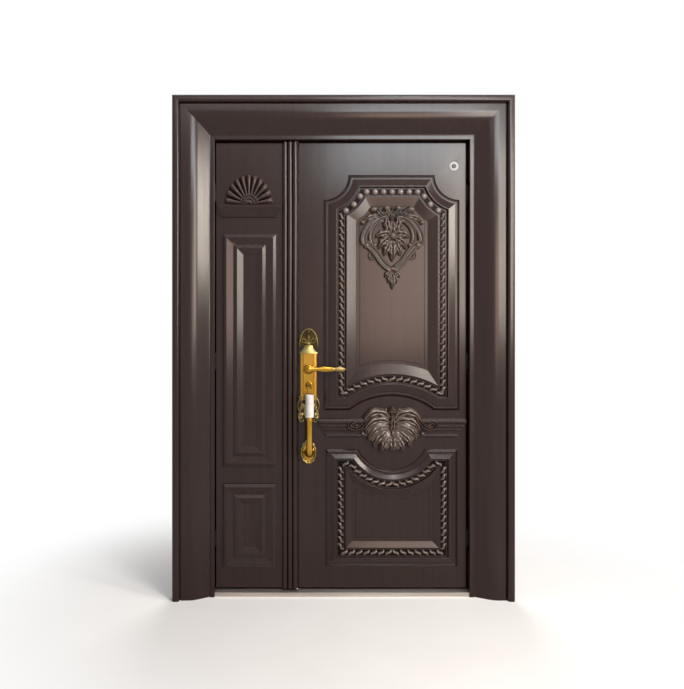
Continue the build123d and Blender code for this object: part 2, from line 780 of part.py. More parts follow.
def bolt_holes(left, right):
    """Clearance for the three round bolts and the latch along X."""
    cutters = []
    for z in BOLT_HEIGHTS:
        cutters.append(rod(BOLT_RADIUS + SLIDE_FIT, (left, LOCK_PLANE, z), (right, LOCK_PLANE, z)))
    wide = LATCH_HALF_WIDTH + SLIDE_FIT
    tall = LATCH_HALF_HEIGHT + SLIDE_FIT
    cutters.append(block(
        (left, LOCK_PLANE - wide, LATCH_Z - tall),
        (right, LOCK_PLANE + wide, LATCH_Z + tall),
    ))
    return cutters


def cylinder_profile(grow, near, far):
    """The round-and-tail section of a key cylinder between two depths, grown by a clearance."""
    barrel = rod(CYLINDER_RADIUS + grow, (HANDLE_X, near, CYLINDER_Z), (HANDLE_X, far, CYLINDER_Z))
    half = CYLINDER_TAIL_HALF + grow
    return barrel + block(
        (HANDLE_X - half, near, CYLINDER_Z - CYLINDER_TAIL - grow),
        (HANDLE_X + half, far, CYLINDER_Z),
    )


def through_hole(radius, x, z):
    """A bore through the whole leaf and the plates on it."""
    return rod(radius, (x, -BORE_REACH, z), (x, LEAF_BACK + BORE_REACH, z))


def rod_channel(x, low, high):
    return rod(ROD_RADIUS + SLIDE_FIT, (x, LOCK_PLANE, low), (x, LOCK_PLANE, high))


FACE_LOW = LOCK_BOTTOM - CARRIAGE_MARGIN
FACE_HIGH = LOCK_TOP + CARRIAGE_MARGIN
STRIKE_X = meeting_edge(-1, LOCK_PLANE + FACEPLATE_HALF) - STRIKE_SINK
FLUSH_FACE_X = meeting_edge(-1, LOCK_PLANE + FLUSH_PLATE_HALF) - STRIKE_SINK
CYLINDER_FRONT = LEAF_FRONT - PLATE_OUT - ESCUTCHEON_OUT - CYLINDER_PROUD
CYLINDER_END = LEAF_BACK + INNER_PLATE_OUT + CYLINDER_PROUD


def lock_faceplate():
    plate = edge_pocket(FACE_X, CASE_LEFT, FACEPLATE_HALF, FACE_LOW, FACE_HIGH)
    for cutter in bolt_holes(FACE_X - OVERRUN, CASE_LEFT + OVERRUN):
        plate -= cutter
    return plate


def lock_case():
    """A folded steel case behind the faceplate, open towards it."""
    case = edge_pocket(CASE_LEFT, LOCK_BACK, LOCK_HALF, LOCK_BOTTOM, LOCK_TOP)
    case -= edge_pocket(
        CASE_LEFT - OVERRUN, LOCK_BACK - LOCK_WALL, LOCK_HALF - LOCK_WALL,
        LOCK_BOTTOM + LOCK_WALL, LOCK_TOP - LOCK_WALL)
    case -= through_hole(SPINDLE_HOLE, HANDLE_X, LEVER_Z)
    case -= cylinder_profile(SEAT_GAP, CYLINDER_FRONT, CYLINDER_END)
    return case - rod_channel(ROD_X, LOCK_BOTTOM - OVERRUN, LOCK_TOP + OVERRUN)


def main_bolts():
    """The sliding carriage with its three round bolts, slotted round the spindle and the cylinder."""
    carriage = block(
        (CARRIAGE_LEFT, LOCK_PLANE - CARRIAGE_HALF, BOLT_HEIGHTS[0] - BOLT_RADIUS),
        (CARRIAGE_RIGHT, LOCK_PLANE + CARRIAGE_HALF, LATCH_Z + LATCH_HALF_HEIGHT),
    )
    spindle_gap = SPINDLE_HOLE + SLIDE_FIT
    cylinder_gap = CYLINDER_RADIUS + SLIDE_FIT
    for gap, low, high in (
        (spindle_gap, LEVER_Z - spindle_gap, LEVER_Z + spindle_gap),
        (cylinder_gap, CYLINDER_Z - CYLINDER_TAIL - SLIDE_FIT, CYLINDER_Z + cylinder_gap),
    ):
        carriage -= block(
            (HANDLE_X - gap, LOCK_PLANE - LOCK_HALF, low),
            (HANDLE_X + BOLT_THROW + gap, LOCK_PLANE + LOCK_HALF, high),
        )
    for z in BOLT_HEIGHTS:
        carriage += rod(
            BOLT_RADIUS, (FACE_X + SEAT_GAP, LOCK_PLANE, z), (CARRIAGE_LEFT + BOLT_RADIUS, LOCK_PLANE, z))
    return carriage


def latch_bolt():
    """A latch with one slanted side, on the edge of the carriage."""
    front = LOCK_PLANE - LATCH_HALF_WIDTH
    back = LOCK_PLANE + LATCH_HALF_WIDTH
    tip = FACE_X + SEAT_GAP
    plan = closed_face([
        (tip, front),
        (CARRIAGE_LEFT, front),
        (CARRIAGE_LEFT, back),
        (tip + LATCH_BEVEL, back),
        (tip, back - LATCH_BEVEL),
    ])
    return extrude(Pos(0, 0, LATCH_Z - LATCH_HALF_HEIGHT) * plan, 2 * LATCH_HALF_HEIGHT, dir=(0, 0, 1))


def strike_plate():
    plate = edge_pocket(STRIKE_X, STRIKE_X - FACEPLATE, FACEPLATE_HALF, FACE_LOW, FACE_HIGH)
    for cutter in bolt_holes(STRIKE_X - FACEPLATE - OVERRUN, STRIKE_X + OVERRUN):
        plate -= cutter
    return plate


def flush_ends(top):
    """Outer end, inner end, thumb lug and plate limits of a flush bolt, at the top or the bottom."""
    outer = LEAF_TOP if top else LEAF_BOTTOM
    inward = -1 if top else 1
    lug = outer + inward * (FLUSH_PLATE_MARGIN + FLUSH_PLATE_LENGTH / 2)
    plate = sorted((
        outer + inward * FLUSH_PLATE_MARGIN,
        outer + inward * (FLUSH_PLATE_MARGIN + FLUSH_PLATE_LENGTH),
    ))
    return outer + inward * ROD_TIP, outer + inward * FLUSH_LENGTH, lug, plate


def flush_lug_slot(top, left, right):
    """The slot in which the thumb lug of a flush bolt travels."""
    lug = flush_ends(top)[2]
    half = FLUSH_LUG / 2 + SLIDE_FIT
    low = lug - half - (0 if top else FLUSH_TRAVEL)
    high = lug + half + (FLUSH_TRAVEL if top else 0)
    return block((left, LOCK_PLANE - half, low), (right, LOCK_PLANE + half, high))


def flush_bolt(top):
    outer, inner, lug, plate = flush_ends(top)
    low, high = sorted((outer, inner))
    half = FLUSH_LUG / 2
    bolt = rod(ROD_RADIUS, (FLUSH_X, LOCK_PLANE, low), (FLUSH_X, LOCK_PLANE, high))
    return bolt + block(
        (FLUSH_X, LOCK_PLANE - half, lug - half),
        (FLUSH_FACE_X - SEAT_GAP, LOCK_PLANE + half, lug + half),
    )


def flush_bolt_plate(top):
    low, high = flush_ends(top)[3]
    plate = edge_pocket(FLUSH_FACE_X, FLUSH_FACE_X - FACEPLATE, FLUSH_PLATE_HALF, low, high)
    return plate - flush_lug_slot(top, FLUSH_FACE_X - FACEPLATE - OVERRUN, FLUSH_FACE_X + OVERRUN)


def main_cutters():
    """Everything that is let into the main leaf or passes through it."""
    return [
        edge_pocket(MEETING_X - OVERRUN, CASE_LEFT, FACEPLATE_HALF, FACE_LOW, FACE_HIGH),
        edge_pocket(CASE_LEFT - OVERRUN, LOCK_BACK, LOCK_HALF, LOCK_BOTTOM, LOCK_TOP),
        rod_channel(ROD_X, LEAF_BOTTOM - OVERRUN, LEAF_TOP + OVERRUN),
        through_hole(SPINDLE_HOLE, HANDLE_X, LEVER_Z),
        cylinder_profile(SEAT_GAP, CYLINDER_FRONT, CYLINDER_END),
        through_hole(VIEWER_TUBE + RUNNING_FIT, VIEWER_X, VIEWER_Z),
        meeting_seal(1),
    ]


def side_cutters():
    """Everything that is let into the side leaf."""
    past_edge = SIDE_MEETING_X + OVERRUN
    hole_end = FACE_X - BOLT_THROW - OVERRUN
    cutters = [edge_pocket(past_edge, STRIKE_X - FACEPLATE, FACEPLATE_HALF, FACE_LOW, FACE_HIGH)]
    cutters += bolt_holes(hole_end, past_edge)
    for top in (True, False):
        outer, inner, lug, plate = flush_ends(top)
        reach = OVERRUN if top else -OVERRUN
        low, high = sorted((outer + reach, inner))
        cutters.append(rod_channel(FLUSH_X, low, high))
        cutters.append(edge_pocket(past_edge, FLUSH_FACE_X - FACEPLATE, FLUSH_PLATE_HALF, *plate))
        cutters.append(flush_lug_slot(top, FLUSH_X, past_edge))
    cutters.append(meeting_seal(-1))
    return cutters


# Handles, grip and key cylinder

def lever_outline():
    """A lever seen from the front: hub at the origin, waisted arm to the right, scroll at its tip."""
    tip = LEVER_LENGTH - LEVER_SCROLL_RADIUS
    middle = tip / 2
    arm = closed_face([
        (0, LEVER_ROOT_HALF),
        ((middle, LEVER_WAIST_HALF), (tip, LEVER_SCROLL_RADIUS)),
        (tip, -LEVER_WAIST_HALF / 2),
        ((middle, -LEVER_WAIST_HALF), (0, -LEVER_ROOT_HALF)),
    ])
    scroll = Pos(tip, 0) * Circle(LEVER_SCROLL_RADIUS)
    return Circle(HUB_RADIUS) + arm + scroll


def lever(seat, sign, neck_end):
    """A lever on one face; the seat is the face of its plate, and sign points away from the leaf."""
    hub_start = seat + sign * SEAT_GAP
    arm_start = seat + sign * HUB_OUT
    arm_end = arm_start + sign * LEVER_THICKNESS
    plane = Plane(origin=(HANDLE_X, arm_start, LEVER_Z), x_dir=(1, 0, 0), z_dir=(0, -1, 0))
    shape = extrude(plane * lever_outline(), LEVER_THICKNESS, dir=(0, sign, 0))
    shape += rod(HUB_RADIUS, (HANDLE_X, hub_start, LEVER_Z), (HANDLE_X, arm_end, LEVER_Z))
    shape += rod(NECK_RADIUS, (HANDLE_X, neck_end, LEVER_Z), (HANDLE_X, hub_start, LEVER_Z))
    return shape - spindle()


def spindle():
    """The square bar that joins both levers through the lock."""
    half = SPINDLE_SIDE / 2
    front = LEAF_FRONT - PLATE_OUT - ROSE_OUT - HUB_OUT
    back = LEAF_BACK + INNER_PLATE_OUT + HUB_OUT
    return block((HANDLE_X - half, front, LEVER_Z - half), (HANDLE_X + half, back, LEVER_Z + half))


def cylinder_body():
    body = cylinder_profile(0, CYLINDER_FRONT, CYLINDER_END)
    return body - through_hole(PLUG_RADIUS + RUNNING_FIT, HANDLE_X, CYLINDER_Z)


def key_plug():
    plug_end = CYLINDER_END + TURN_OUT / 2
    plug = rod(PLUG_RADIUS, (HANDLE_X, CYLINDER_FRONT, CYLINDER_Z), (HANDLE_X, plug_end, CYLINDER_Z))
    return plug - block(
        (HANDLE_X - KEYWAY_HALF, CYLINDER_FRONT - OVERRUN, CYLINDER_Z - KEYWAY_HEIGHT_HALF),
        (HANDLE_X + KEYWAY_HALF, CYLINDER_FRONT + KEYWAY_DEPTH, CYLINDER_Z + KEYWAY_HEIGHT_HALF),
    )


def thumb_turn():
    """A small knob with a flat grip, on the inner end of the plug."""
    start = CYLINDER_END + SEAT_GAP
    neck_end = CYLINDER_END + TURN_OUT / 2
    knob = rod(TURN_NECK, (HANDLE_X, start, CYLINDER_Z), (HANDLE_X, neck_end, CYLINDER_Z))
    plane = Plane(origin=(HANDLE_X, neck_end, CYLINDER_Z), x_dir=(1, 0, 0), z_dir=(0, -1, 0))
    grip = Rectangle(2 * TURN_HALF, 2 * TURN_RADIUS) & Circle(TURN_RADIUS)
    knob += extrude(plane * grip, TURN_OUT / 2, dir=(0, 1, 0))
    return knob - key_plug()


# half outline of a carved leaf, as shares of its length and width, and the share left at its top
LEAF_SHARES = ((0.0, 0.14), (0.3, 0.42), (0.62, 0.5), (0.88, 0.26), (1.0, 0.0))
LEAF_TOP_SHARE = 0.42


def carved_leaf(length, width, out):
    """A bevelled leaf, its root at the origin and its tip along local x."""
    outline = [(length * a, width * b) for a, b in LEAF_SHARES]
    outline += [(length * a, -width * b) for a, b in reversed(LEAF_SHARES[:-1])]
    base = closed_face(outline)
    centre = length / 2
    top = closed_face([(centre + (x - centre) * LEAF_TOP_SHARE, y * LEAF_TOP_SHARE) for x, y in outline])
    return loft([base, Pos(0, 0, out) * top], ruled=True)


def leaf_at(x, z, angle, length, width, out, base):
    """A carved leaf on the front at a height above the face of the door leaf."""
    return front_plane(base) * Pos(x, z) * Rot(0, 0, angle) * carved_leaf(length, width, out)


def oval(x, z, half_width, half_height, low, high):
    """A flat oval between two heights above the face of the door leaf."""
    face = front_plane(low) * Pos(x, z) * Ellipse(half_width, half_height)
    return extrude(face, high - low, dir=(0, -1, 0))


# angle in degrees, and length as a share of the longest leaf
CROWN_FAN_SHARES = ((90, 1.0), (66, 0.92), (114, 0.92), (42, 0.76), (138, 0.76))
TAIL_FAN_SHARES = ((-90, 1.0), (-62, 0.82), (-118, 0.82), (-28, 0.5), (-152, 0.5))


def outer_plate():
    """Cast front plate: crown, cap, long plate with its rose, key escutcheon and hanging leaves."""
    middle = (PLATE_TOP + PLATE_BOTTOM) / 2
    tall = PLATE_TOP - PLATE_BOTTOM
    faces = []
    for height, inset in ((0, 0), (PLATE_OUT - PLATE_BEVEL, 0), (PLATE_OUT, PLATE_BEVEL)):
        rectangle = Rectangle(2 * (PLATE_HALF - inset), tall)
        faces.append(front_plane(height) * Pos(HANDLE_X, middle) * rectangle)
    plate = loft(faces, ruled=True)
    cap_levels = ((PLATE_TOP, CAP_HALF, CAP_OUT), (CAP_TOP, CAP_TOP_HALF, PLATE_OUT))
    plate += moulding_loft(HANDLE_X, cap_levels)
    crown_height = CROWN_TOP - CAP_TOP
    plate += oval(HANDLE_X, CAP_TOP, CROWN_HALF, crown_height * 2 / 3, 0, PLATE_OUT / 2)
    for angle, share in CROWN_FAN_SHARES:
        plate += leaf_at(HANDLE_X, CAP_TOP, angle, crown_height * share, CROWN_HALF, CROWN_OUT, 0)
    tail_height = PLATE_BOTTOM - LEAVES_BOTTOM
    plate += oval(HANDLE_X, PLATE_BOTTOM, LEAVES_HALF * 2 / 3, tail_height / 2, 0, PLATE_OUT / 2)
    for angle, share in TAIL_FAN_SHARES:
        plate += leaf_at(HANDLE_X, PLATE_BOTTOM, angle, tail_height * share, LEAVES_HALF, LEAVES_OUT, 0)
    plate += front_cone(HANDLE_X, LEVER_Z, ROSE_RADIUS, ROSE_RADIUS, 0, PLATE_OUT + ROSE_OUT)
    plate += front_cone(
        HANDLE_X, CYLINDER_Z, ESCUTCHEON_RADIUS, ESCUTCHEON_RADIUS, 0, PLATE_OUT + ESCUTCHEON_OUT)
    plate += front_cone(HANDLE_X, GRIP_TOP, SLEEVE_RADIUS, SLEEVE_RADIUS, 0, LEAVES_OUT)
    plate -= through_hole(NECK_RADIUS + RUNNING_FIT, HANDLE_X, LEVER_Z)
    return plate - cylinder_profile(SEAT_GAP, CYLINDER_FRONT, CYLINDER_END)


def grip_bar(radius):
    """The round bar of the pull grip, from its seat on the plate to its seat on the foot."""
    front = LEAF_FRONT - GRIP_OUT
    points = [
        (HANDLE_X, LEAF_FRONT - LEAVES_OUT, GRIP_TOP),
        (HANDLE_X, front, GRIP_TOP),
        (HANDLE_X, front, FOOT_Z),
        (HANDLE_X, LEAF_FRONT - FOOT_BOSS_OUT, FOOT_Z),
    ]
    path = FilletPolyline(*points, radius=GRIP_BEND)
    section = Plane(origin=points[0], z_dir=(0, -1, 0)) * Circle(radius)
    return sweep(section, path=path)


def grip_sleeve():
    """The soft sleeve round the upper end of the grip, open at the back where the grip goes in."""
    front = LEAF_FRONT - GRIP_OUT
    sleeve = rod(SLEEVE_RADIUS, (HANDLE_X, front, SLEEVE_BOTTOM), (HANDLE_X, front, SLEEVE_TOP))
    return sleeve - grip_bar(GRIP_RADIUS + SEAT_GAP)


def grip_foot():
    """A lobed oval rosette with a round boss for the lower end of the grip."""
    foot = oval(HANDLE_X, FOOT_Z, FOOT_HALF * 3 / 4, FOOT_HALF_HEIGHT * 3 / 4, 0, FOOT_OUT)
    for index in range(FOOT_LOBES):
        turn = 2 * math.pi * (index + 1 / 2) / FOOT_LOBES
        x = FOOT_HALF * math.cos(turn)
        z = FOOT_HALF_HEIGHT * math.sin(turn)
        length = math.hypot(x, z)
        foot += leaf_at(HANDLE_X, FOOT_Z, math.degrees(math.atan2(z, x)), length, FOOT_HALF, FOOT_OUT, 0)
    return foot + front_cone(HANDLE_X, FOOT_Z, FOOT_BOSS_RADIUS, FOOT_BOSS_RADIUS, 0, FOOT_BOSS_OUT)


def inner_plate():
    """Plain plate on the inside face."""
    plate = block(
        (HANDLE_X - INNER_PLATE_HALF, LEAF_BACK, INNER_PLATE_BOTTOM),
        (HANDLE_X + INNER_PLATE_HALF, LEAF_BACK + INNER_PLATE_OUT, INNER_PLATE_TOP),
    )
    plate = chamfer(plate.faces().sort_by(Axis.Y)[-1].edges(), PLATE_BEVEL / 2)
    plate -= through_hole(NECK_RADIUS + RUNNING_FIT, HANDLE_X, LEVER_Z)
    return plate - cylinder_profile(SEAT_GAP, CYLINDER_FRONT, CYLINDER_END)


# The viewer

def viewer_rod(radius, near, far):
    return rod(radius, (VIEWER_X, near, VIEWER_Z), (VIEWER_X, far, VIEWER_Z))


def viewer_barrel():
    """Front half of the viewer: flange and tube."""
    flange_front = LEAF_FRONT - VIEWER_FLANGE_OUT
    tube_end = (LEAF_FRONT + LEAF_BACK + VIEWER_OVERLAP) / 2
    barrel = front_cone(VIEWER_X, VIEWER_Z, VIEWER_FLANGE, VIEWER_TUBE, 0, VIEWER_FLANGE_OUT)
    barrel += viewer_rod(VIEWER_TUBE, LEAF_FRONT, tube_end)
    barrel -= viewer_rod(VIEWER_BORE, flange_front - OVERRUN, tube_end + OVERRUN)
    return barrel - viewer_rod(VIEWER_INNER_TUBE + RUNNING_FIT, LEAF_FRONT + OVERRUN, tube_end + OVERRUN)


def viewer_sleeve():
    """Back half of the viewer, screwed into the barrel."""
    back = LEAF_BACK + VIEWER_FLANGE_OUT
    tube_start = (LEAF_FRONT + LEAF_BACK - VIEWER_OVERLAP) / 2
    sleeve = viewer_rod(VIEWER_INNER_TUBE, tube_start, back)
    sleeve += viewer_rod(VIEWER_BACK_FLANGE, LEAF_BACK, back)
    return sleeve - viewer_rod(VIEWER_BORE, tube_start - OVERRUN, back + OVERRUN)


def viewer_lens():
    """Glass of the viewer, domed at the front."""
    front = LEAF_FRONT - VIEWER_FLANGE_OUT - VIEWER_LENS_OUT
    rim = front + VIEWER_LENS_OUT
    radius = sagitta_radius(VIEWER_BORE, VIEWER_LENS_OUT)
    dome = Pos(VIEWER_X, front + radius, VIEWER_Z) * Sphere(radius)
    return dome & viewer_rod(VIEWER_BORE, front, rim + VIEWER_LENS)


# Rope and pearl rows

LINK_TOP_SHARE = 0.5
# radius and height of a pearl's rings, as shares of its radius
PEARL_SHARES = ((1.0, 0.0), (0.86, 0.5), (0.42, 0.9))


def rope_link(x, z, angle, hand):
    """One slanted link of a rope, along an angle; hand is the way in which it slants."""
    half = ROPE_LENGTH / 2
    wide = ROPE_WIDTH / 2
    slant = hand * wide * math.tan(math.radians(ROPE_SLANT)) / 2
    corners = [(-half - slant, -wide), (half - slant, -wide), (half + slant, wide), (-half + slant, wide)]
    base = closed_face(corners)
    top = closed_face([(a * LINK_TOP_SHARE, b * LINK_TOP_SHARE) for a, b in corners])
    link = loft([base, Pos(0, 0, ROPE_HEIGHT) * top], ruled=True)
    return front_plane(CHANNEL_HEIGHT) * Pos(x, z) * Rot(0, 0, angle) * link


def pearl(x, z):
    """An eight-sided bead with a bevelled top."""
    faces = []
    for share, rise in PEARL_SHARES:
        face = RegularPolygon(PEARL_RADIUS * share, 8)
        faces.append(front_plane(CHANNEL_HEIGHT + PEARL_RADIUS * rise) * Pos(x, z) * face)
    return loft(faces, ruled=True)


def spaced(low, high, pitch):
    """Middles of equal steps that fill a run, each close to the pitch."""
    count = max(1, round(abs(high - low) / pitch))
    return [low + (high - low) * (index + 1 / 2) / count for index in range(count)]


def straight_links(start, end, hand):
    """Rope links along a straight run between two points of the panel."""
    length = math.dist(start, end)
    angle = math.degrees(math.atan2(end[1] - start[1], end[0] - start[0]))
    links = []
    for along in spaced(0, length, ROPE_PITCH):
        x = start[0] + (end[0] - start[0]) * along / length
        z = start[1] + (end[1] - start[1]) * along / length
        links.append(rope_link(x, z, angle, hand))
    return links


def arc_links(centre, radius, start, end):
    """Rope links along an arc between two angles in radians, slanting away from its middle."""
    links = []
    middle = (start + end) / 2
    for turn in spaced(start, end, ROPE_PITCH / radius):
        x = centre[0] + radius * math.cos(turn)
        z = centre[1] + radius * math.sin(turn)
        hand = 1 if turn > middle else -1
        links.append(rope_link(x, z, math.degrees(turn) + 90, hand))
    return links


def rope_band(panel, channel_inset):
    """The flat band in the channel that carries the links."""
    inset = channel_inset + (CHANNEL_WIDTH - ROPE_WIDTH) / 2
    top = CHANNEL_HEIGHT + ROPE_BASE
    band = panel_layer(panel, (inset, CHANNEL_HEIGHT), (inset, top))
    return band - panel_layer(
        panel, (inset + ROPE_WIDTH, CHANNEL_HEIGHT - OVERRUN), (inset + ROPE_WIDTH, top + OVERRUN))


def upper_rope_moulding():
    """Ropes up both sides and along the arch, pearls along the top and the scooped corners."""
    panel = upper_panel()
    inset = UPPER_CHANNEL_INSET + CHANNEL_WIDTH / 2
    x, high = panel["x"], panel["high"]
    half = panel["half"] - inset
    arch_x, arch_z, arch = panel["rounds"][2]
    arch_radius = arch + inset
    scoop = SCOOP_RADIUS + inset
    corner = math.sqrt(scoop ** 2 - inset ** 2)
    low = max(panel["low"] + inset, arch_z + math.sqrt(arch_radius ** 2 - half ** 2))
    pieces = []
    for side in (-1, 1):
        run = x + side * half
        pieces += straight_links((run, low), (run, high - corner), side)
        start = math.atan2(-corner, -side * inset)
        end = math.atan2(-inset, -side * corner)
        if side > 0:
            end -= 2 * math.pi if end > start else 0
        else:
            start, end = min(start, end), max(start, end)
        for turn in spaced(start, end, PEARL_PITCH / scoop):
            centre_x = x + side * panel["half"]
            pieces.append(pearl(centre_x + scoop * math.cos(turn), high + scoop * math.sin(turn)))
    top_half = panel["half"] - corner
    for along in spaced(x - top_half, x + top_half, PEARL_PITCH):
        pieces.append(pearl(along, high - inset))
    rise = panel["low"] + inset - arch_z
    reach = min(half, math.sqrt(arch_radius ** 2 - rise ** 2))
    spread = math.asin(reach / arch_radius)
    pieces += arc_links((arch_x, arch_z), arch_radius, math.pi / 2 + spread, math.pi / 2 - spread)
    return rope_band(panel, UPPER_CHANNEL_INSET) + pieces


def lower_rope_moulding():
    """Ropes round all four sides of the lower panel, following the sag of its top."""
    panel = lower_panel()
    inset = LOWER_CHANNEL_INSET + CHANNEL_WIDTH / 2
    half = panel["half"] - inset
    low = panel["low"] + inset
    high = panel["high"] - inset
    x, notch_z, notch = panel["rounds"][0]
    radius = notch + inset
    reach = math.sqrt(radius ** 2 - (notch_z - high) ** 2)
    wide = ROPE_WIDTH / 2
    pieces = []
    for side in (-1, 1):
        run = x + side * half
        pieces += straight_links((run, low + wide), (run, high - wide), side)
        pieces += straight_links((x, low), (run, low), side)
        pieces += straight_links((x + side * reach, high), (run, high), side)
    spread = math.asin(reach / radius)
    pieces += arc_links((x, notch_z), radius, spread - math.pi / 2, -math.pi / 2 - spread)
    return rope_band(panel, LOWER_CHANNEL_INSET) + pieces


# Carved pieces

# Leaves of a carving, right of its middle: place (shares of half its width and of its height), angle in
# degrees, then length and width as shares of its height
CARTOUCHE_LEAF_SHARES = (
    (0.0, 0.80, 90, 0.20, 0.09),
    (0.05, 0.84, 62, 0.18, 0.09),
    (0.24, 0.85, 36, 0.20, 0.10),
    (0.40, 0.88, -12, 0.23, 0.10),
    (0.12, 0.64, 68, 0.24, 0.09),
    (0.10, 0.60, 8, 0.14, 0.09),
    (0.12, 0.56, -40, 0.15, 0.09),
    (0.06, 0.48, -64, 0.17, 0.10),
    (0.0, 0.50, -90, 0.23, 0.12),
    (0.04, 0.24, -38, 0.13, 0.08),
    (0.0, 0.28, -90, 0.28, 0.09),
)
# straps of a carving: start, middle and end of an arc, then its width and its rise
CARTOUCHE_STRAP_SHARES = (
    ((0.0, 0.88), (0.66, 0.80), (0.86, 0.53), 0.075, 0.62),
    ((0.06, 0.78), (0.52, 0.76), (0.60, 0.48), 0.060, 0.52),
    ((0.92, 0.55), (0.48, 0.43), (0.0, 0.262), 0.082, 0.66),
)
# bosses of a carving: place, half width and half height as shares of its height, then its rise
CARTOUCHE_BOSS_SHARES = (
    (0.0, 0.67, 0.075, 0.065, 1.0),
    (0.0, 0.57, 0.060, 0.070, 0.9),
    (0.82, 0.535, 0.045, 0.045, 0.75),
    (0.18, 0.965, 0.036, 0.030, 0.7),
    (0.57, 0.955, 0.046, 0.034, 0.75),
    (0.0, 0.26, 0.050, 0.035, 0.7),
)
ROSETTE_LEAF_SHARES = (
    (0.0, 0.78, 90, 0.22, 0.16),
    (0.04, 0.80, 58, 0.18, 0.14),
    (0.0, 0.44, 90, 0.40, 0.17),
    (0.0, 0.44, -90, 0.44, 0.22),
    (0.05, 0.44, -66, 0.42, 0.22),
    (0.10, 0.42, -44, 0.44, 0.22),
    (0.20, 0.38, -24, 0.40, 0.20),
    (0.58, 0.50, 6, 0.42, 0.16),
)
ROSETTE_STRAP_SHARES = (
    ((0.05, 0.50), (0.20, 0.84), (0.46, 0.84), 0.13, 0.9),
    ((0.07, 0.48), (0.28, 0.72), (0.56, 0.68), 0.13, 0.9),
    ((0.08, 0.45), (0.32, 0.56), (0.62, 0.50), 0.13, 0.8),
    ((0.46, 0.86), (0.64, 0.66), (0.58, 0.40), 0.11, 0.7),
)
ROSETTE_BOSS_SHARES = (
    (0.0, 0.46, 0.085, 0.095, 1.0),
    (0.64, 0.38, 0.045, 0.045, 0.6),
)
# half width and half height of the ground behind the rosette, as shares of its size
ROSETTE_GROUND_SHARES = (0.52, 0.34)
# top of a strap or boss, as a share of its foot
RIDGE_SHARE = 0.42


def strap_face(points, width, height):
    """A band of a width along the arc through three points, at a height above the face of the leaf."""
    places = [Vector(u, v) for u, v in points]
    centre = Edge.make_three_point_arc(*places).arc_center
    rows = []
    for side in (1, -1):
        arms = [place - centre for place in places]
        ends = [centre + arm * (1 + side * width / 2 / arm.length) for arm in arms]
        rows.append([(end.X, end.Y) for end in ends])
    outer, inner = rows
    band = closed_face([outer[0], (outer[1], outer[2]), inner[2], (inner[1], inner[0])])
    return front_plane(height) * band


def carved_strap(points, width, low, high):
    """A ridged strap along the arc through three points, between two heights above the face."""
    top = strap_face(points, width * RIDGE_SHARE, high)
    return loft([strap_face(points, width, low), top], ruled=True)


def carved_boss(x, z, half_width, half_height, low, high):
    """A bevelled oval between two heights above the face of the leaf."""
    rings = []
    for share, height in ((1.0, low), (RIDGE_SHARE, high)):
        ring = Ellipse(half_width * share, half_height * share)
        rings.append(front_plane(height) * Pos(x, z) * ring)
    return loft(rings, ruled=True)


def carving(x, low, height, half, base, out, leaves, straps, bosses):
    """Leaves, straps and bosses from their tables, with the mirror image of what stands off the middle."""
    pieces = []
    for side in (1, -1):
        for u, v, angle, length, width in leaves:
            if u > 0 or side > 0:
                turn = angle if side > 0 else 180 - angle
                pieces.append(leaf_at(
                    x + side * half * u, low + height * v, turn, height * length, height * width, out, base))
        for *points, width, rise in straps:
            places = [(x + side * half * u, low + height * v) for u, v in points]
            pieces.append(carved_strap(places, height * width, base, base + out * rise))
        for u, v, wide, tall, rise in bosses:
            if u > 0 or side > 0:
                middle = (x + side * half * u, low + height * v)
                pieces.append(carved_boss(
                    *middle, height * wide, height * tall, base, base + out * rise))
    return pieces


def cartouche():
    """Open carving on the field of the upper panel: scrolled straps round a cluster of leaves."""
    pieces = carving(
        MAIN_PANEL_X, CARTOUCHE_BOTTOM, CARTOUCHE_HEIGHT, CARTOUCHE_HALF, FIELD_HEIGHT, CARTOUCHE_OUT,
        CARTOUCHE_LEAF_SHARES, CARTOUCHE_STRAP_SHARES, CARTOUCHE_BOSS_SHARES)
    return pieces[0] + pieces[1:]


def rail_rosette():
    """Carving seated over the rail: curled leaves each side of a stalk, a palmette and side sprigs."""
    wide, tall = ROSETTE_GROUND_SHARES
    middle = ROSETTE_BOTTOM + ROSETTE_HEIGHT / 2
    body = oval(MAIN_PANEL_X, middle, ROSETTE_HALF * wide, ROSETTE_HEIGHT * tall, 0, RAIL_OUT)
    body += carving(
        MAIN_PANEL_X, ROSETTE_BOTTOM, ROSETTE_HEIGHT, ROSETTE_HALF, RAIL_OUT, ROSETTE_OUT,
        ROSETTE_LEAF_SHARES, ROSETTE_STRAP_SHARES, ROSETTE_BOSS_SHARES)
    return body - rail()


SHELL_GROUND_SHARE = 0.86
FLUTE_SHARE = 1.1
# radius and rise of the steps of the shell's hub
HUB_SHARES = ((1.0, 0.75), (0.62, 1.0))


def shell_casting():
    """A fluted shell standing on the shelf of the side leaf."""
    half_plane = block(
        (SHELF_X - 2 * SHELL_HALF, LEAF_FRONT - 2 * SHELL_OUT, SHELF_TOP),
        (SHELF_X + 2 * SHELL_HALF, LEAF_FRONT, SHELF_TOP + 2 * SHELL_HEIGHT),
    )
    ground = SHELL_GROUND_SHARE
    body = oval(SHELF_X, SHELF_TOP, SHELL_HALF * ground, SHELL_HEIGHT * ground, 0, SHELL_GROUND)
    for turn in spaced(0, math.pi, math.pi / SHELL_FLUTES):
        x = SHELL_HALF * math.cos(turn)
        z = SHELL_HEIGHT * math.sin(turn)
        length = math.hypot(x, z)
        width = FLUTE_SHARE * math.pi * length / SHELL_FLUTES
        angle = math.degrees(math.atan2(z, x))
        body += leaf_at(SHELF_X, SHELF_TOP, angle, length, width, SHELL_OUT * 2 / 3, 0)
    for share, rise in HUB_SHARES:
        radius = SHELL_HUB * share
        body += front_cone(SHELF_X, SHELF_TOP, radius, radius, 0, SHELL_OUT * rise)
    return body & half_plane


# All the pieces

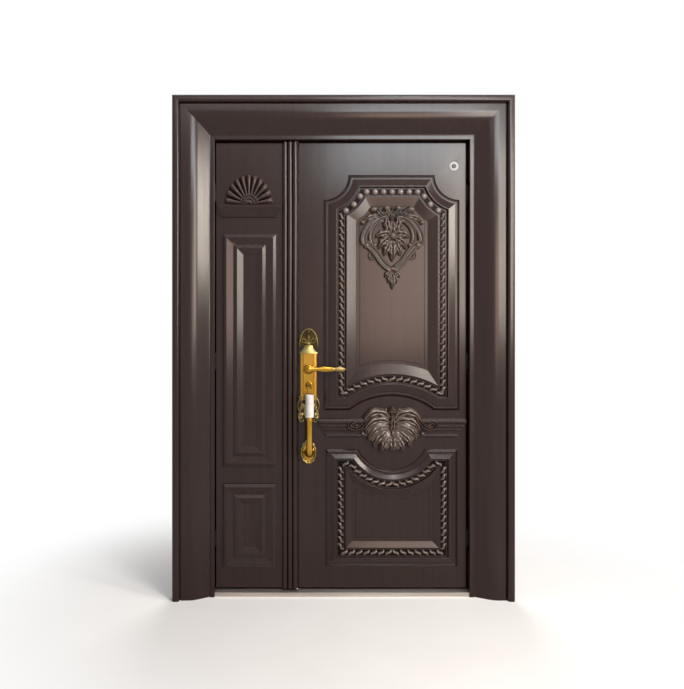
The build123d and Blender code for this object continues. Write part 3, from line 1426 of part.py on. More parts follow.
def save_frame():
    jamb = right_jamb()
    save("right_jamb", jamb)
    save("left_jamb", mirrored(jamb))
    save("head_casing", head_casing())
    save("sill", sill())
    save("frame_seal", frame_seal())
    pins = []
    for name, height in HINGE_HEIGHTS.items():
        box = hinge_box(height)
        arm = hinge_arm(height)
        save(f"main_hinge_box_{name}", box)
        save(f"side_hinge_box_{name}", mirrored(box))
        save(f"main_hinge_arm_{name}", arm)
        save(f"side_hinge_arm_{name}", mirrored(arm))
        pins.append(hinge_pin(height, PIN_RADIUS))
    save("main_hinge_pins", Compound(children=pins))
    save("side_hinge_pins", Compound(children=[mirrored(pin) for pin in pins]))


def save_leaf(name, side, reliefs, cutters):
    for layer, shape in zip(("outer_skin", "inner_skin", "core"), leaf_layers(side, reliefs)):
        for cutter in cutters:
            shape -= cutter
        save(f"{name}_{layer}", shape)


def save_main_leaf():
    reliefs = [
        pressed(main_raised_panel(upper_panel(), UPPER_CHANNEL_INSET, UPPER_FIELD_RUN)),
        pressed(main_raised_panel(lower_panel(), LOWER_CHANNEL_INSET, LOWER_FIELD_RUN)),
        (rail(), rail(LEAF_SHEET)),
    ]
    save_leaf("main", 1, reliefs, main_cutters())
    save("main_meeting_seal", meeting_seal(1))
    save("upper_rope_moulding", upper_rope_moulding())
    save("lower_rope_moulding", lower_rope_moulding())
    save("cartouche", cartouche())
    save("rail_rosette", rail_rosette())
    save("viewer_barrel", viewer_barrel())
    save("viewer_sleeve", viewer_sleeve())
    save("viewer_lens", viewer_lens())


def save_lock():
    rose_face = LEAF_FRONT - PLATE_OUT - ROSE_OUT
    save("lock_faceplate", lock_faceplate())
    save("lock_case", lock_case())
    save("main_bolts", main_bolts())
    save("latch_bolt", latch_bolt())
    for name, low, high in (
        ("upper_rod", LOCK_TOP - ROD_OVERLAP, LEAF_TOP - ROD_TIP),
        ("lower_rod", LEAF_BOTTOM + ROD_TIP, LOCK_BOTTOM + ROD_OVERLAP),
    ):
        save(name, rod(ROD_RADIUS, (ROD_X, LOCK_PLANE, low), (ROD_X, LOCK_PLANE, high)))
    save("outer_plate", outer_plate())
    save("inner_plate", inner_plate())
    save("outside_lever", lever(rose_face, -1, LEAF_FRONT))
    save("inside_lever", lever(LEAF_BACK + INNER_PLATE_OUT, 1, LEAF_BACK))
    save("spindle", spindle())
    save("cylinder_body", cylinder_body())
    save("key_plug", key_plug())
    save("thumb_turn", thumb_turn())
    save("pull_grip", grip_bar(GRIP_RADIUS))
    save("grip_foot", grip_foot())
    save("grip_sleeve", grip_sleeve())


def save_side_leaf():
    reliefs = [
        pressed(side_raised_panel(side_panel(TALL_BOTTOM, TALL_TOP))),
        pressed(side_raised_panel(side_panel(SHORT_BOTTOM, SHORT_TOP))),
        (shelf(), shelf(LEAF_SHEET)),
    ]
    save_leaf("side", -1, reliefs, side_cutters())
    save("meeting_strip", meeting_strip())
    save("side_meeting_seal", meeting_seal(-1))
    save("shell_casting", shell_casting())
    save("strike_plate", strike_plate())
    for name, top in (("top", True), ("bottom", False)):
        save(f"{name}_flush_bolt", flush_bolt(top))
        save(f"{name}_flush_bolt_plate", flush_bolt_plate(top))


save_frame()
save_main_leaf()
save_lock()
save_side_leaf()
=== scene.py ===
import json
import math

import bmesh
import bpy
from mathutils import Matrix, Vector
from mathutils.geometry import delaunay_2d_cdt


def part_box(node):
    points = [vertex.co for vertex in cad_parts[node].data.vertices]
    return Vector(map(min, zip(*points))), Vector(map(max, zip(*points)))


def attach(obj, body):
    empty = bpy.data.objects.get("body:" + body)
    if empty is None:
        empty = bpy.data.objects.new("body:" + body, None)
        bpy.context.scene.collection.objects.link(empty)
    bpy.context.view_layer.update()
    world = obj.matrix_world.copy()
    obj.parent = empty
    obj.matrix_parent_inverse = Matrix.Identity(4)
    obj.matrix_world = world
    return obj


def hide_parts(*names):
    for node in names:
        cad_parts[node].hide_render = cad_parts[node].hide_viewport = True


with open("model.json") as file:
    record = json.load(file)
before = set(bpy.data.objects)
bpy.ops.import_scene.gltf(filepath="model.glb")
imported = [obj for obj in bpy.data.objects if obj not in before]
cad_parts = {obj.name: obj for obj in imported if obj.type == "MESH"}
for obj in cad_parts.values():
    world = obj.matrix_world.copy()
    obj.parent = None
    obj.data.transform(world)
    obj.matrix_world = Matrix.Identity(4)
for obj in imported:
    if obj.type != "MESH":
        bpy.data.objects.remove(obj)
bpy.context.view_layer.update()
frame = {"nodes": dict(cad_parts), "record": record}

# Steel fire door with two unequal leaves in its moulded frame. Metres, +Z up, the front towards -Y.

# Places read from the frame
HEAD_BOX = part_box("head_casing")
MAIN_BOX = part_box("main_outer_skin")
SIDE_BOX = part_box("side_outer_skin")
STRIP_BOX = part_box("meeting_strip")
OVERALL_HALF = HEAD_BOX[1][0]
OVERALL_TOP = HEAD_BOX[1][2]
FRAME_BACK = HEAD_BOX[1][1]
LEAF_FRONT = STRIP_BOX[1][1]
LEAF_BACK = MAIN_BOX[1][1]
LEAF_BOTTOM = MAIN_BOX[0][2]
LEAF_TOP = MAIN_BOX[1][2]

# Photograph's frame and the camera that took it
IMAGE_WIDTH = 684
IMAGE_HEIGHT = 689
FOCAL_PIXELS = 694.0
PRINCIPAL_U = 249.8
PRINCIPAL_V = 335.7
SENSOR_WIDTH = 36.0
CAMERA_PLACE = (-0.407, -3.08, 1.153)

# Casing section, from the edge of the opening outwards
CASING_WIDTH = 0.183
FRAME_SHEET = 0.002
STOP_WIDTH = 0.016
STOP_GAP = 0.006
STOP_FRONT = LEAF_BACK + STOP_GAP
BACK_FLANGE = 0.070
LIP_FRONT = 0.022
LIP_WIDTH = 0.018
LIP_STEP = 0.005
LIP_FLAT = 0.004
MOULD_WIDTH = 0.121
MOULD_RISE = 0.043
SPLAY_WIDTH = 0.070
SPLAY_FOLD = 0.020
SPLAY_ROUND = 0.095
GROOVE_MARGIN = 0.003
GROOVE_WIDTH = 0.005
GROOVE_DEPTH = 0.007
BAND_FRONT = 0.075
BAND_ROUND = 0.011
WALL_FLANGE = 0.018
FOLD = 0.003
QUIRK_FOLD = 0.0012
FOLD_STEPS = 6
CIRCLE_STEPS = 24
FIXING_BORE = 0.006
FIXING_MARGIN = 0.012
FIXING_HEIGHTS = (0.520, 1.520)
HINGE_HEIGHTS = (0.250, 1.040, 1.790)
HINGE_SLOT_HALF = 0.042
HINGE_SLOT_FRONT = -0.017
HINGE_SLOT_BACK = 0.040
OPENING_HALF = OVERALL_HALF - CASING_WIDTH
OPENING_TOP = OVERALL_TOP - CASING_WIDTH

# Leaves
LEAF_SHEET = 0.0015
LEAF_FOLD = 0.0025
MAIN_BEVEL = 0.003
SIDE_BEVEL = 0.009
LOCK_PLANE = 0.045
ROD_HOLE = 0.0065
ROD_PLATE_HALF = 2 * ROD_HOLE
ROD_X = -0.090
FLUSH_SETBACK = 0.026
FLUSH_X = STRIP_BOX[1][0] - FLUSH_SETBACK
HANDLE_X = -0.146
LEVER_Z = 1.006
CYLINDER_Z = 0.932
SPINDLE_HOLE = 0.007
CYLINDER_HOLE = 0.0088
VIEWER_X = 0.501
VIEWER_Z = 1.907
VIEWER_HOLE = 0.013

# Panels of the main leaf
MAIN_PANEL_X = 0.224
UPPER_HALF = 0.302
UPPER_BOTTOM = 0.821
UPPER_TOP = 1.868
SCOOP_RADIUS = 0.110
ARCH_HALF_CHORD = 0.187
ARCH_RISE = 0.063
LOWER_HALF = 0.293
LOWER_BOTTOM = 0.126
LOWER_TOP = 0.650
NOTCH_HALF_CHORD = 0.148
NOTCH_SAG = 0.092
UPPER_CHANNEL_INSET = 0.060
LOWER_CHANNEL_INSET = 0.048
CHANNEL_WIDTH = 0.034
CHANNEL_HEIGHT = 0.009
UPPER_FIELD_RUN = 0.050
LOWER_FIELD_RUN = 0.034
RIM_HEIGHT = 0.020
FIELD_HEIGHT = 0.010
CREST_HEIGHT = 0.022
FIELD_MARGIN = 0.012
DISH_LIFT = 0.0012
LINE_DEPTH = 0.0016
ARC_STEPS = 14
SIDE_STEPS = 3
PROFILE_STEPS = 5
# section of a main panel in parts, as (inset from where the part starts, height, fillet)
OUTER_SPLAY = ((0.0, 0.0, 0), (0.0010, 0.0045, 0.0007), (0.0105, 0.0130, 0.0030), (0.0125, 0.0130, 0.0010),
               (0.0135, 0.0095, 0.0010), (0.0215, 0.0095, 0.0010), (0.0225, 0.0125, 0.0010))
CHANNEL_CREST = ((-0.008, CREST_HEIGHT, 0.0040), (-0.003, CREST_HEIGHT, 0.0020),
                 (-0.001, CHANNEL_HEIGHT, 0.0008))
FIELD_RIM = ((0.0, CHANNEL_HEIGHT, 0.0006), (0.0030, RIM_HEIGHT, 0.0015), (0.0070, RIM_HEIGHT, 0.0025))
DISH_FOOT = ((-0.0015, FIELD_HEIGHT + DISH_LIFT, 0.0006), (0.0, FIELD_HEIGHT, 0.0006))
SUNK_LINE = ((0.0, FIELD_HEIGHT, 0.0004), (0.0008, FIELD_HEIGHT - LINE_DEPTH, 0.0004),
             (0.0030, FIELD_HEIGHT - LINE_DEPTH, 0.0004), (0.0038, FIELD_HEIGHT, 0.0004),
             (0.0100, FIELD_HEIGHT, 0))

# Rail across the main leaf; shelf, panels, seal and strip by the side leaf
# the fillet is a share of a step, the chamfer a share of the cap
RAIL = {"x": MAIN_PANEL_X, "low": 0.704, "high": 0.784, "half_low": 0.287, "half_high": 0.326,
        "bead": 0.012, "bead_out": 0.014, "neck_out": 0.009, "cap": 0.018, "cap_out": 0.024,
        "steps": 3, "fillet": 0.22}
SHELF = {"x": -0.411, "low": 1.680, "high": 1.737, "half_low": 0.121, "half_high": 0.140,
         "bead": 0.004, "bead_out": 0.010, "neck_out": 0.009, "cap": 0.015, "cap_out": 0.024,
         "steps": 1, "fillet": 0.94}
CORNICE_FOOT_SHARE = 0.3
BEAD_ROUND_SHARE = 1 / 3
NECK_CREASE = 0.0005
STEP_CREASE = 0.0006
STEP_EDGE = 0.0012
CAP_FOOT_ROUND = 0.0015
CORNICE_CHAMFER = 0.45
CORNICE_SETBACK = 0.0020
SIDE_PANEL_X = -0.408
SIDE_HALF = 0.119
TALL_BOTTOM = 0.571
TALL_TOP = 1.604
SHORT_BOTTOM = 0.123
SHORT_TOP = 0.496
# section of a side panel, as (inset, height, fillet)
SIDE_SECTION = ((0.0, 0.0, 0), (0.0010, 0.0080, 0.0008), (0.0145, 0.0155, 0.0015), (0.0165, 0.0155, 0.0015),
                (0.0470, 0.0078, 0.0010), (0.0482, 0.0100, 0.0006), (0.0620, 0.0178, 0.0012),
                (0.0635, 0.0178, 0.0012), (0.0905, 0.0090, 0.0008), (0.0920, 0.0080, 0.0006),
                (0.0980, 0.0080, 0))
SEAL_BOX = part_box("main_meeting_seal")
SILL_TOP = 0.026
FOOT_SEAL_GAP = 0.0004
FOOT_SEAL_ROUND = 0.0015
FOOT_SEAL_REACH = 0.0030
STRIP_REEDS = 3
STRIP_BASE = 0.004
REED_STEPS = 10

# Rope and pearl rows in the channels
ROPE_WIDTH = 0.024
ROPE_BASE = 0.0025
ROPE_PITCH = 0.031
ROPE_HEIGHT = 0.0120
ROPE_SLANT = 42.0
ROPE_CURL = 0.0035
STRAND_LONG_SHARE = 0.80
STRAND_THICK_SHARE = 0.26
PEARL_PITCH = 0.039
PEARL_RADIUS = 0.0145
PEARL_RISE_SHARE = 0.9

# Carved pieces: box of each as read from its solid, and the shell's fluting
CARTOUCHE_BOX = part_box("cartouche")
ROSETTE_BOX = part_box("rail_rosette")
SHELL_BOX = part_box("shell_casting")
SHELL_OUT = 0.020
SHELL_FLUTES = 11
SHELL_HUB = 0.040
FLUTE_STEPS = 8
FLUTE_MIDDLE = 0.35
FLUTE_DEPTH = 1.6
SCALLOP_SHARE = 0.035
# rings of the shell, as shares: reach, rise, and rise of its flutes
SHELL_RINGS = (
    (0.0, 0.55, 0.0), (0.25, 0.52, 0.05), (0.4, 0.42, 0.16), (0.55, 0.40, 0.26), (0.7, 0.40, 0.34),
    (0.82, 0.40, 0.38), (0.91, 0.36, 0.34), (0.97, 0.24, 0.26), (1.0, 0.05, 0.12), (1.0, 0.0, 0.0),
)
# scrolls of its hub: radius and width as shares of the hub, rise as a share of the shell's, and steps
SHELL_SCROLLS = ((1.0, 0.30, 0.85, 24), (0.62, 0.26, 1.0, 24), (0.22, 0.40, 0.95, 12))

# Handle plate, grip and levers
PLATE_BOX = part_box("outer_plate")
SLEEVE_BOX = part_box("grip_sleeve")
FOOT_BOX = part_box("grip_foot")
LEVER_BOXES = {"outside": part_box("outside_lever"), "inside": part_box("inside_lever")}
VIEWER_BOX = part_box("viewer_barrel")
INNER_PLATE_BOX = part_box("inner_plate")
TRIM_INSET = 0.0050
TRIM_ROUND = 0.0060
TRIM_WIDTH = 0.0034
TRIM_HEIGHT = 0.0018
KEY_ROSE_DROP = 0.008
# roses on the inside plate: height, stretch, rings of (radius, rise)
INSIDE_ROSES = (
    (LEVER_Z, (1.0, 1.0), (
        (0.0118, 0.0), (0.0118, 0.0024), (0.0150, 0.0026), (0.0162, 0.0036), (0.0205, 0.0032),
        (0.0228, 0.0018), (0.0232, 0.0), (0.0118, 0.0))),
    (CYLINDER_Z - KEY_ROSE_DROP, (0.62, 1.0), (
        (0.0185, 0.0), (0.0185, 0.0020), (0.0220, 0.0025), (0.0275, 0.0022), (0.0300, 0.0010), (0.0305, 0.0),
        (0.0185, 0.0))),
)
PLATE_HALF = 0.036
PLATE_STRIP = 0.012
PLATE_EDGE = 0.005
PLATE_TOP = 1.078
PLATE_BOTTOM = 0.866
PLATE_OUT = 0.009
CAP_TOP = 1.110
CAP_HALF = 0.039
CAP_TOP_HALF = 0.017
CAP_OUT = 0.015
CROWN_OUT = 0.006
ESCUTCHEON_HALF = 0.0155
ESCUTCHEON_TALL = 0.021
GRIP_STANDOFF = 0.062
GRIP_AXIS = LEAF_FRONT - GRIP_STANDOFF
GRIP_TOP = 0.872
GRIP_BEND = 0.024
GRIP_TOP_SEAT = -0.002
FOOT_Z = 0.634
FOOT_LOBES = 12
LATHE_STEPS = 40
LEVER_ARM = 0.006

# Floor, with the distances from the door between which it fades to white, and the light all round
FLOOR_FADE = (0.7, 1.8)
FLOOR_HALF = 30.0
AMBIENT = 0.07

WELD = 0.00001


# Points and curves

def arc_points(centre, radius, start, end, steps):
    """Points of an arc between two angles in degrees."""
    points = []
    for index in range(steps + 1):
        turn = math.radians(start + (end - start) * index / steps)
        points.append((centre[0] + radius * math.cos(turn), centre[1] + radius * math.sin(turn)))
    return points


def rounded(corners, steps=4):
    """Points along corners given as (u, v, radius), each turned by an arc of its radius."""
    points = []
    for index, (u, v, radius) in enumerate(corners):
        here = Vector((u, v))
        if radius == 0 or index in (0, len(corners) - 1):
            points.append((u, v))
            continue
        back = (Vector(corners[index - 1][:2]) - here).normalized()
        ahead = (Vector(corners[index + 1][:2]) - here).normalized()
        half = back.angle(ahead) / 2
        centre = here + (back + ahead).normalized() * radius / math.sin(half)
        first = here + back * radius / math.tan(half) - centre
        turn = first.angle_signed(here + ahead * radius / math.tan(half) - centre)
        start = math.atan2(first.y, first.x)
        points += arc_points(centre, radius, math.degrees(start), math.degrees(start - turn), steps)
    return points


def sagitta_radius(half_chord, rise):
    """Radius of an arc from half its chord and its rise."""
    return (half_chord ** 2 + rise ** 2) / (2 * rise)


def spaced(low, high, pitch):
    """Middles of equal steps that fill a run, each close to the pitch."""
    count = max(1, round(abs(high - low) / pitch))
    return [low + (high - low) * (index + 0.5) / count for index in range(count)]


def inside(point, loop):
    """Whether a flat point lies in a closed loop of points."""
    x, y = point
    found = False
    for (ax, ay), (bx, by) in zip(loop, loop[1:] + loop[:1]):
        if (ay > y) != (by > y) and x < ax + (bx - ax) * (y - ay) / (by - ay):
            found = not found
    return found


# Meshes

class Shell:
    """The points and faces of one mesh while it is put together."""

    def __init__(self):
        self.points = []
        self.faces = []
        self.tones = []
        self.tone = 0

    def add(self, points, faces, flip=False):
        start = len(self.points)
        self.points += [tuple(point) for point in points]
        for face in faces:
            order = reversed(face) if flip else face
            self.faces.append(tuple(start + index for index in order))
            self.tones.append(self.tone)

    def grid(self, rows, wrap=False, flip=False, skip=None):
        """Quads between rows of as many points each; wrap closes each row on itself."""
        count = len(rows[0])
        faces = []
        for r in range(len(rows) - 1):
            for c in range(count if wrap else count - 1):
                if skip and skip(r, c):
                    continue
                d = (c + 1) % count
                faces.append((r * count + c, r * count + d, (r + 1) * count + d, (r + 1) * count + c))
        self.add([point for row in rows for point in row], faces, flip)

    def cap(self, ring):
        """One face across a ring of points."""
        self.add(ring, [tuple(range(len(ring)))])

    def bar(self, rings):
        """A closed body through rings of as many points each."""
        self.grid(rings, wrap=True)
        self.cap(rings[0])
        self.cap(rings[-1])

    def plate(self, place, outline, holes=(), flip=False):
        """A flat plate with holes, from loops of flat points that place() sets in space."""
        points = []
        edges = []
        for loop in [outline, *holes]:
            start = len(points)
            points += [Vector(point) for point in loop]
            edges += [(start + i, start + (i + 1) % len(loop)) for i in range(len(loop))]
        found, _, faces = delaunay_2d_cdt(points, edges, [], 1, WELD / 10)[:3]
        kept = []
        for face in faces:
            middle = sum((found[i] for i in face), Vector((0, 0))) / len(face)
            if not any(inside(middle, hole) for hole in holes):
                kept.append(tuple(face))
        self.add([place(*point) for point in found], kept, flip)


def piece(name, shell, body, materials, replaced=(), sharp=30.0, sheet=0.0, closed=True, flat=True):
    """Makes the mesh object, gives it its finishes, and sets it on its body."""
    mesh = bpy.data.meshes.new(name)
    mesh.from_pydata(shell.points, [], shell.faces)
    for material in materials if isinstance(materials, tuple) else (materials,):
        mesh.materials.append(material)
    mesh.polygons.foreach_set("material_index", shell.tones)
    work = bmesh.new()
    work.from_mesh(mesh)
    bmesh.ops.remove_doubles(work, verts=work.verts, dist=WELD)
    bmesh.ops.dissolve_degenerate(work, edges=work.edges, dist=WELD)
    if closed:
        bmesh.ops.recalc_face_normals(work, faces=work.faces)
    work.to_mesh(mesh)
    work.free()
    mesh.shade_smooth()
    mesh.set_sharp_from_angle(angle=math.radians(sharp))
    made = bpy.data.objects.new(name, mesh)
    bpy.context.scene.collection.objects.link(made)
    if sheet:
        solid = made.modifiers.new("sheet", "SOLIDIFY")
        solid.thickness = sheet
        solid.offset = -1
    if flat:
        normals = made.modifiers.new("normals", "WEIGHTED_NORMAL")
        normals.keep_sharp = True
    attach(made, body)
    if replaced:
        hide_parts(*replaced)


# Materials

def new_material(name):
    """A new material, its node tree and its shader."""
    material = bpy.data.materials.new(name)
    material.use_nodes = True
    tree = material.node_tree
    return material, tree, tree.nodes["Principled BSDF"]


def noise(tree, scale, stretch=(1, 1, 1), detail=4.0):
    """Noise on the object's own coordinates, stretched along its axes."""
    place = tree.nodes.new("ShaderNodeTexCoord")
    mapping = tree.nodes.new("ShaderNodeMapping")
    mapping.inputs["Scale"].default_value = stretch
    texture = tree.nodes.new("ShaderNodeTexNoise")
    texture.inputs["Scale"].default_value = scale
    texture.inputs["Detail"].default_value = detail
    tree.links.new(place.outputs["Object"], mapping.inputs["Vector"])
    tree.links.new(mapping.outputs["Vector"], texture.inputs["Vector"])
    return texture.outputs["Fac"]


def ramp(tree, value, stops):
    """A colour ramp on a value; stops are (place, colour)."""
    node = tree.nodes.new("ShaderNodeValToRGB")
    elements = node.color_ramp.elements
    while len(elements) < len(stops):
        elements.new(0.5)
    for element, (place, colour) in zip(elements, stops):
        element.position = place
        element.color = (*colour, 1.0)
    tree.links.new(value, node.inputs["Fac"])
    return node.outputs["Color"]


def spread(tree, value, low, high):
    """A value from 0 to 1 laid between two numbers."""
    node = tree.nodes.new("ShaderNodeMapRange")
    node.inputs["To Min"].default_value = low
    node.inputs["To Max"].default_value = high
    tree.links.new(value, node.inputs["Value"])
    return node.outputs["Result"]


def multiplied(tree, first, second):
    """One colour times another."""
    node = tree.nodes.new("ShaderNodeMix")
    node.data_type = "RGBA"
    node.blend_type = "MULTIPLY"
    node.inputs["Factor"].default_value = 1.0
    tree.links.new(first, node.inputs["A"])
    tree.links.new(second, node.inputs["B"])
    return node.outputs["Result"]


def bumped(tree, shader, height, distance, strength=1.0):
    """Bends a shader's normals by a height."""
    node = tree.nodes.new("ShaderNodeBump")
    node.inputs["Strength"].default_value = strength
    node.inputs["Distance"].default_value = distance
    tree.links.new(height, node.inputs["Height"])
    tree.links.new(node.outputs["Normal"], shader.inputs["Normal"])


def pointiness(tree, low, high):
    """0 in hollows to 1 on ridges of a fine mesh."""
    geometry = tree.nodes.new("ShaderNodeNewGeometry")
    node = tree.nodes.new("ShaderNodeMapRange")
    node.inputs["From Min"].default_value = low
    node.inputs["From Max"].default_value = high
    tree.links.new(geometry.outputs["Pointiness"], node.inputs["Value"])
    return node.outputs["Result"]


# places on the streaks' noise and the tone there, as a share of the lacquer's shade
STREAKS = ((0.30, 0.84), (0.52, 1.0), (0.74, 1.18))
STREAK_SCALE = 6.0
STREAK_STRETCH = (9.0, 9.0, 0.35)
STREAK_DETAIL = 6.0
# pointiness range and tones on carved lacquer: ridges lighter as rubbed paint and painted highlight, hollows
# darker as patina and painted shade
WEAR_AND_PAINTED_LIGHT_RANGE = (0.44, 0.58)
WEAR_AND_PAINTED_LIGHT_TONES = ((0.0, (0.05, 0.05, 0.05)), (0.5, (1.0, 1.0, 1.0)), (1.0, (3.2, 3.1, 3.0)))
HAZE_SCALE = 14.0
HAZE_STRETCH = (3.0, 3.0, 0.4)
LACQUER_ROUGH = (0.17, 0.25)
PEEL_SCALE = 260.0
PEEL_DEPTH = 0.0003
PEEL_STRENGTH = 0.06


def lacquer_material(name, shade, gloss, wear_and_painted_light=False):
    """Bronze lacquer with faint drawn streaks; if asked, ridges are lightened as rubbed paint and painted
    highlight, and hollows darkened as patina and painted shade.
    """
    material, tree, shader = new_material(name)
    streaks = noise(tree, STREAK_SCALE, STREAK_STRETCH, STREAK_DETAIL)
    colour = ramp(tree, streaks, [(place, tuple(tone * part for part in shade)) for place, tone in STREAKS])
    # painted highlight on ridges and painted shade in hollows, together with rubbed paint and patina
    if wear_and_painted_light:
        colour = multiplied(tree, colour, ramp(tree, pointiness(tree, *WEAR_AND_PAINTED_LIGHT_RANGE), WEAR_AND_PAINTED_LIGHT_TONES))
    tree.links.new(colour, shader.inputs["Base Color"])
    haze = noise(tree, HAZE_SCALE, HAZE_STRETCH)
    tree.links.new(spread(tree, haze, *LACQUER_ROUGH), shader.inputs["Roughness"])
    shader.inputs["Specular IOR Level"].default_value = gloss
    bumped(tree, shader, noise(tree, PEEL_SCALE), PEEL_DEPTH, PEEL_STRENGTH)
    return material


METAL_STOPS = (0.35, 0.68)
CREVICE_RANGE = (0.42, 0.52)
CREVICE_STOP = 0.8
BRUSH_RATIO = 4
BRUSH_DEPTH = 0.0002
BRUSH_STRENGTH = 0.05


def metal_material(name, dark, light, rough, stretch=(1, 1, 1), scale=30.0, crevices=None):
    """A metal whose tone drifts between two colours; crevices is the colour that gathers in its hollows."""
    material, tree, shader = new_material(name)
    colour = ramp(tree, noise(tree, scale, stretch), list(zip(METAL_STOPS, (dark, light))))
    if crevices:
        stops = [(0.0, crevices), (CREVICE_STOP, (1.0, 1.0, 1.0))]
        colour = multiplied(tree, colour, ramp(tree, pointiness(tree, *CREVICE_RANGE), stops))
    tree.links.new(colour, shader.inputs["Base Color"])
    shader.inputs["Metallic"].default_value = 1.0
    fine = noise(tree, scale * BRUSH_RATIO, stretch)
    tree.links.new(spread(tree, fine, *rough), shader.inputs["Roughness"])
    bumped(tree, shader, fine, BRUSH_DEPTH, BRUSH_STRENGTH)
    return material


PLAIN_STOPS = (0.3, 0.7)
PORE_RATIO = 6
PORE_STRENGTH = 0.3


def plain_material(name, dark, light, rough, scale=60.0, grain=0.0003):
    """A matt or satin material with a slight drift of tone and a fine grain."""
    material, tree, shader = new_material(name)
    drift = noise(tree, scale)
    colour = ramp(tree, drift, list(zip(PLAIN_STOPS, (dark, light))))
    tree.links.new(colour, shader.inputs["Base Color"])
    tree.links.new(spread(tree, drift, *rough), shader.inputs["Roughness"])
    bumped(tree, shader, noise(tree, scale * PORE_RATIO), grain, PORE_STRENGTH)
    return material


GLASS_SCALE = 40.0
GLASS_TONES = ((0.3, (0.008, 0.009, 0.011)), (0.7, (0.016, 0.017, 0.02)))
GLASS_ROUGH = (0.03, 0.06)
GLASS_COAT = 0.6


def glass_material(name):
    """Dark glass under a clear coat."""
    material, tree, shader = new_material(name)
    drift = noise(tree, GLASS_SCALE)
    tree.links.new(ramp(tree, drift, GLASS_TONES), shader.inputs["Base Color"])
    tree.links.new(spread(tree, drift, *GLASS_ROUGH), shader.inputs["Roughness"])
    shader.inputs["Coat Weight"].default_value = GLASS_COAT
    return material


LACQUER = lacquer_material("lacquer", (0.0170, 0.0072, 0.0052), 0.30)
# the carved, shell and rope lacquers take the painted highlight on ridges and the painted shade in hollows
CARVED_LACQUER = lacquer_material("carved_lacquer", (0.038, 0.026, 0.021), 0.55, wear_and_painted_light=True)
SHELL_LACQUER = lacquer_material("shell_lacquer", (0.021, 0.012, 0.010), 0.28, wear_and_painted_light=True)
# light lacquer for the pearls: rubbed paint and a painted highlight
RUBBED_HIGHLIGHT_LACQUER = lacquer_material("rubbed_highlight_lacquer", (0.135, 0.108, 0.094), 0.70)
ROPE_LACQUER = lacquer_material("rope_lacquer", (0.050, 0.037, 0.031), 0.55, wear_and_painted_light=True)
# near-black lacquer for the band under the ropes: painted shade in the gaps between the strands
PAINTED_SHADE_LACQUER = lacquer_material("painted_shade_lacquer", (0.0050, 0.0030, 0.0025), 0.06)
ROPE_TONES = (ROPE_LACQUER, PAINTED_SHADE_LACQUER, RUBBED_HIGHLIGHT_LACQUER)
STRAND_TONE, BAND_SHADE_TONE, PEARL_TONE = range(3)
BRASS = metal_material("brass", (0.33, 0.180, 0.025), (0.43, 0.245, 0.042), (0.22, 0.30), scale=9.0)
ANTIQUE_BRASS = metal_material(
    "antique_brass", (0.17, 0.125, 0.044), (0.28, 0.21, 0.085), (0.24, 0.38), scale=20.0,
    crevices=(0.05, 0.04, 0.03))
PATINA = metal_material("patina", (0.020, 0.014, 0.006), (0.050, 0.036, 0.016), (0.40, 0.55))
BRASS_TONES = (BRASS, ANTIQUE_BRASS, PATINA)
BRIGHT_TONE, CAST_TONE, DARK_TONE = range(3)
SILL_STEEL = metal_material(
    "sill_steel", (0.40, 0.36, 0.33), (0.56, 0.51, 0.47), (0.28, 0.46), (0.4, 20.0, 20.0), 8.0)
# hinge steel near black: painted shade, so the hinge arms read as the dark of the gap between leaf and frame
SHADED_HINGE_STEEL = metal_material("hinge_steel", (0.030, 0.027, 0.026), (0.055, 0.050, 0.048), (0.42, 0.58))
LOCK_STEEL = metal_material("lock_steel", (0.45, 0.44, 0.43), (0.62, 0.61, 0.60), (0.24, 0.38))
CHROME = metal_material("viewer_chrome", (0.22, 0.22, 0.23), (0.30, 0.30, 0.31), (0.38, 0.48))
SLEEVE_PLASTIC = plain_material("sleeve_plastic", (0.56, 0.545, 0.52), (0.65, 0.635, 0.60), (0.42, 0.58))
RUBBER = plain_material("seal_rubber", (0.012, 0.012, 0.012), (0.026, 0.025, 0.024), (0.62, 0.8))
CORE_BOARD = plain_material("core_board", (0.55, 0.52, 0.46), (0.66, 0.63, 0.57), (0.8, 0.95), 30.0, 0.001)
LENS = glass_material("viewer_glass")

SLOT_MATERIALS = {
    "lacquer": LACQUER, "brass": BRASS, "sill_steel": SILL_STEEL, "hinge_steel": SHADED_HINGE_STEEL,
    "lock_steel": LOCK_STEEL, "sleeve_plastic": SLEEVE_PLASTIC, "viewer_chrome": CHROME,
    "viewer_glass": LENS, "seal_rubber": RUBBER, "core_board": CORE_BOARD,
}
NODE_MATERIALS = {"key_plug": PATINA}


# The frame

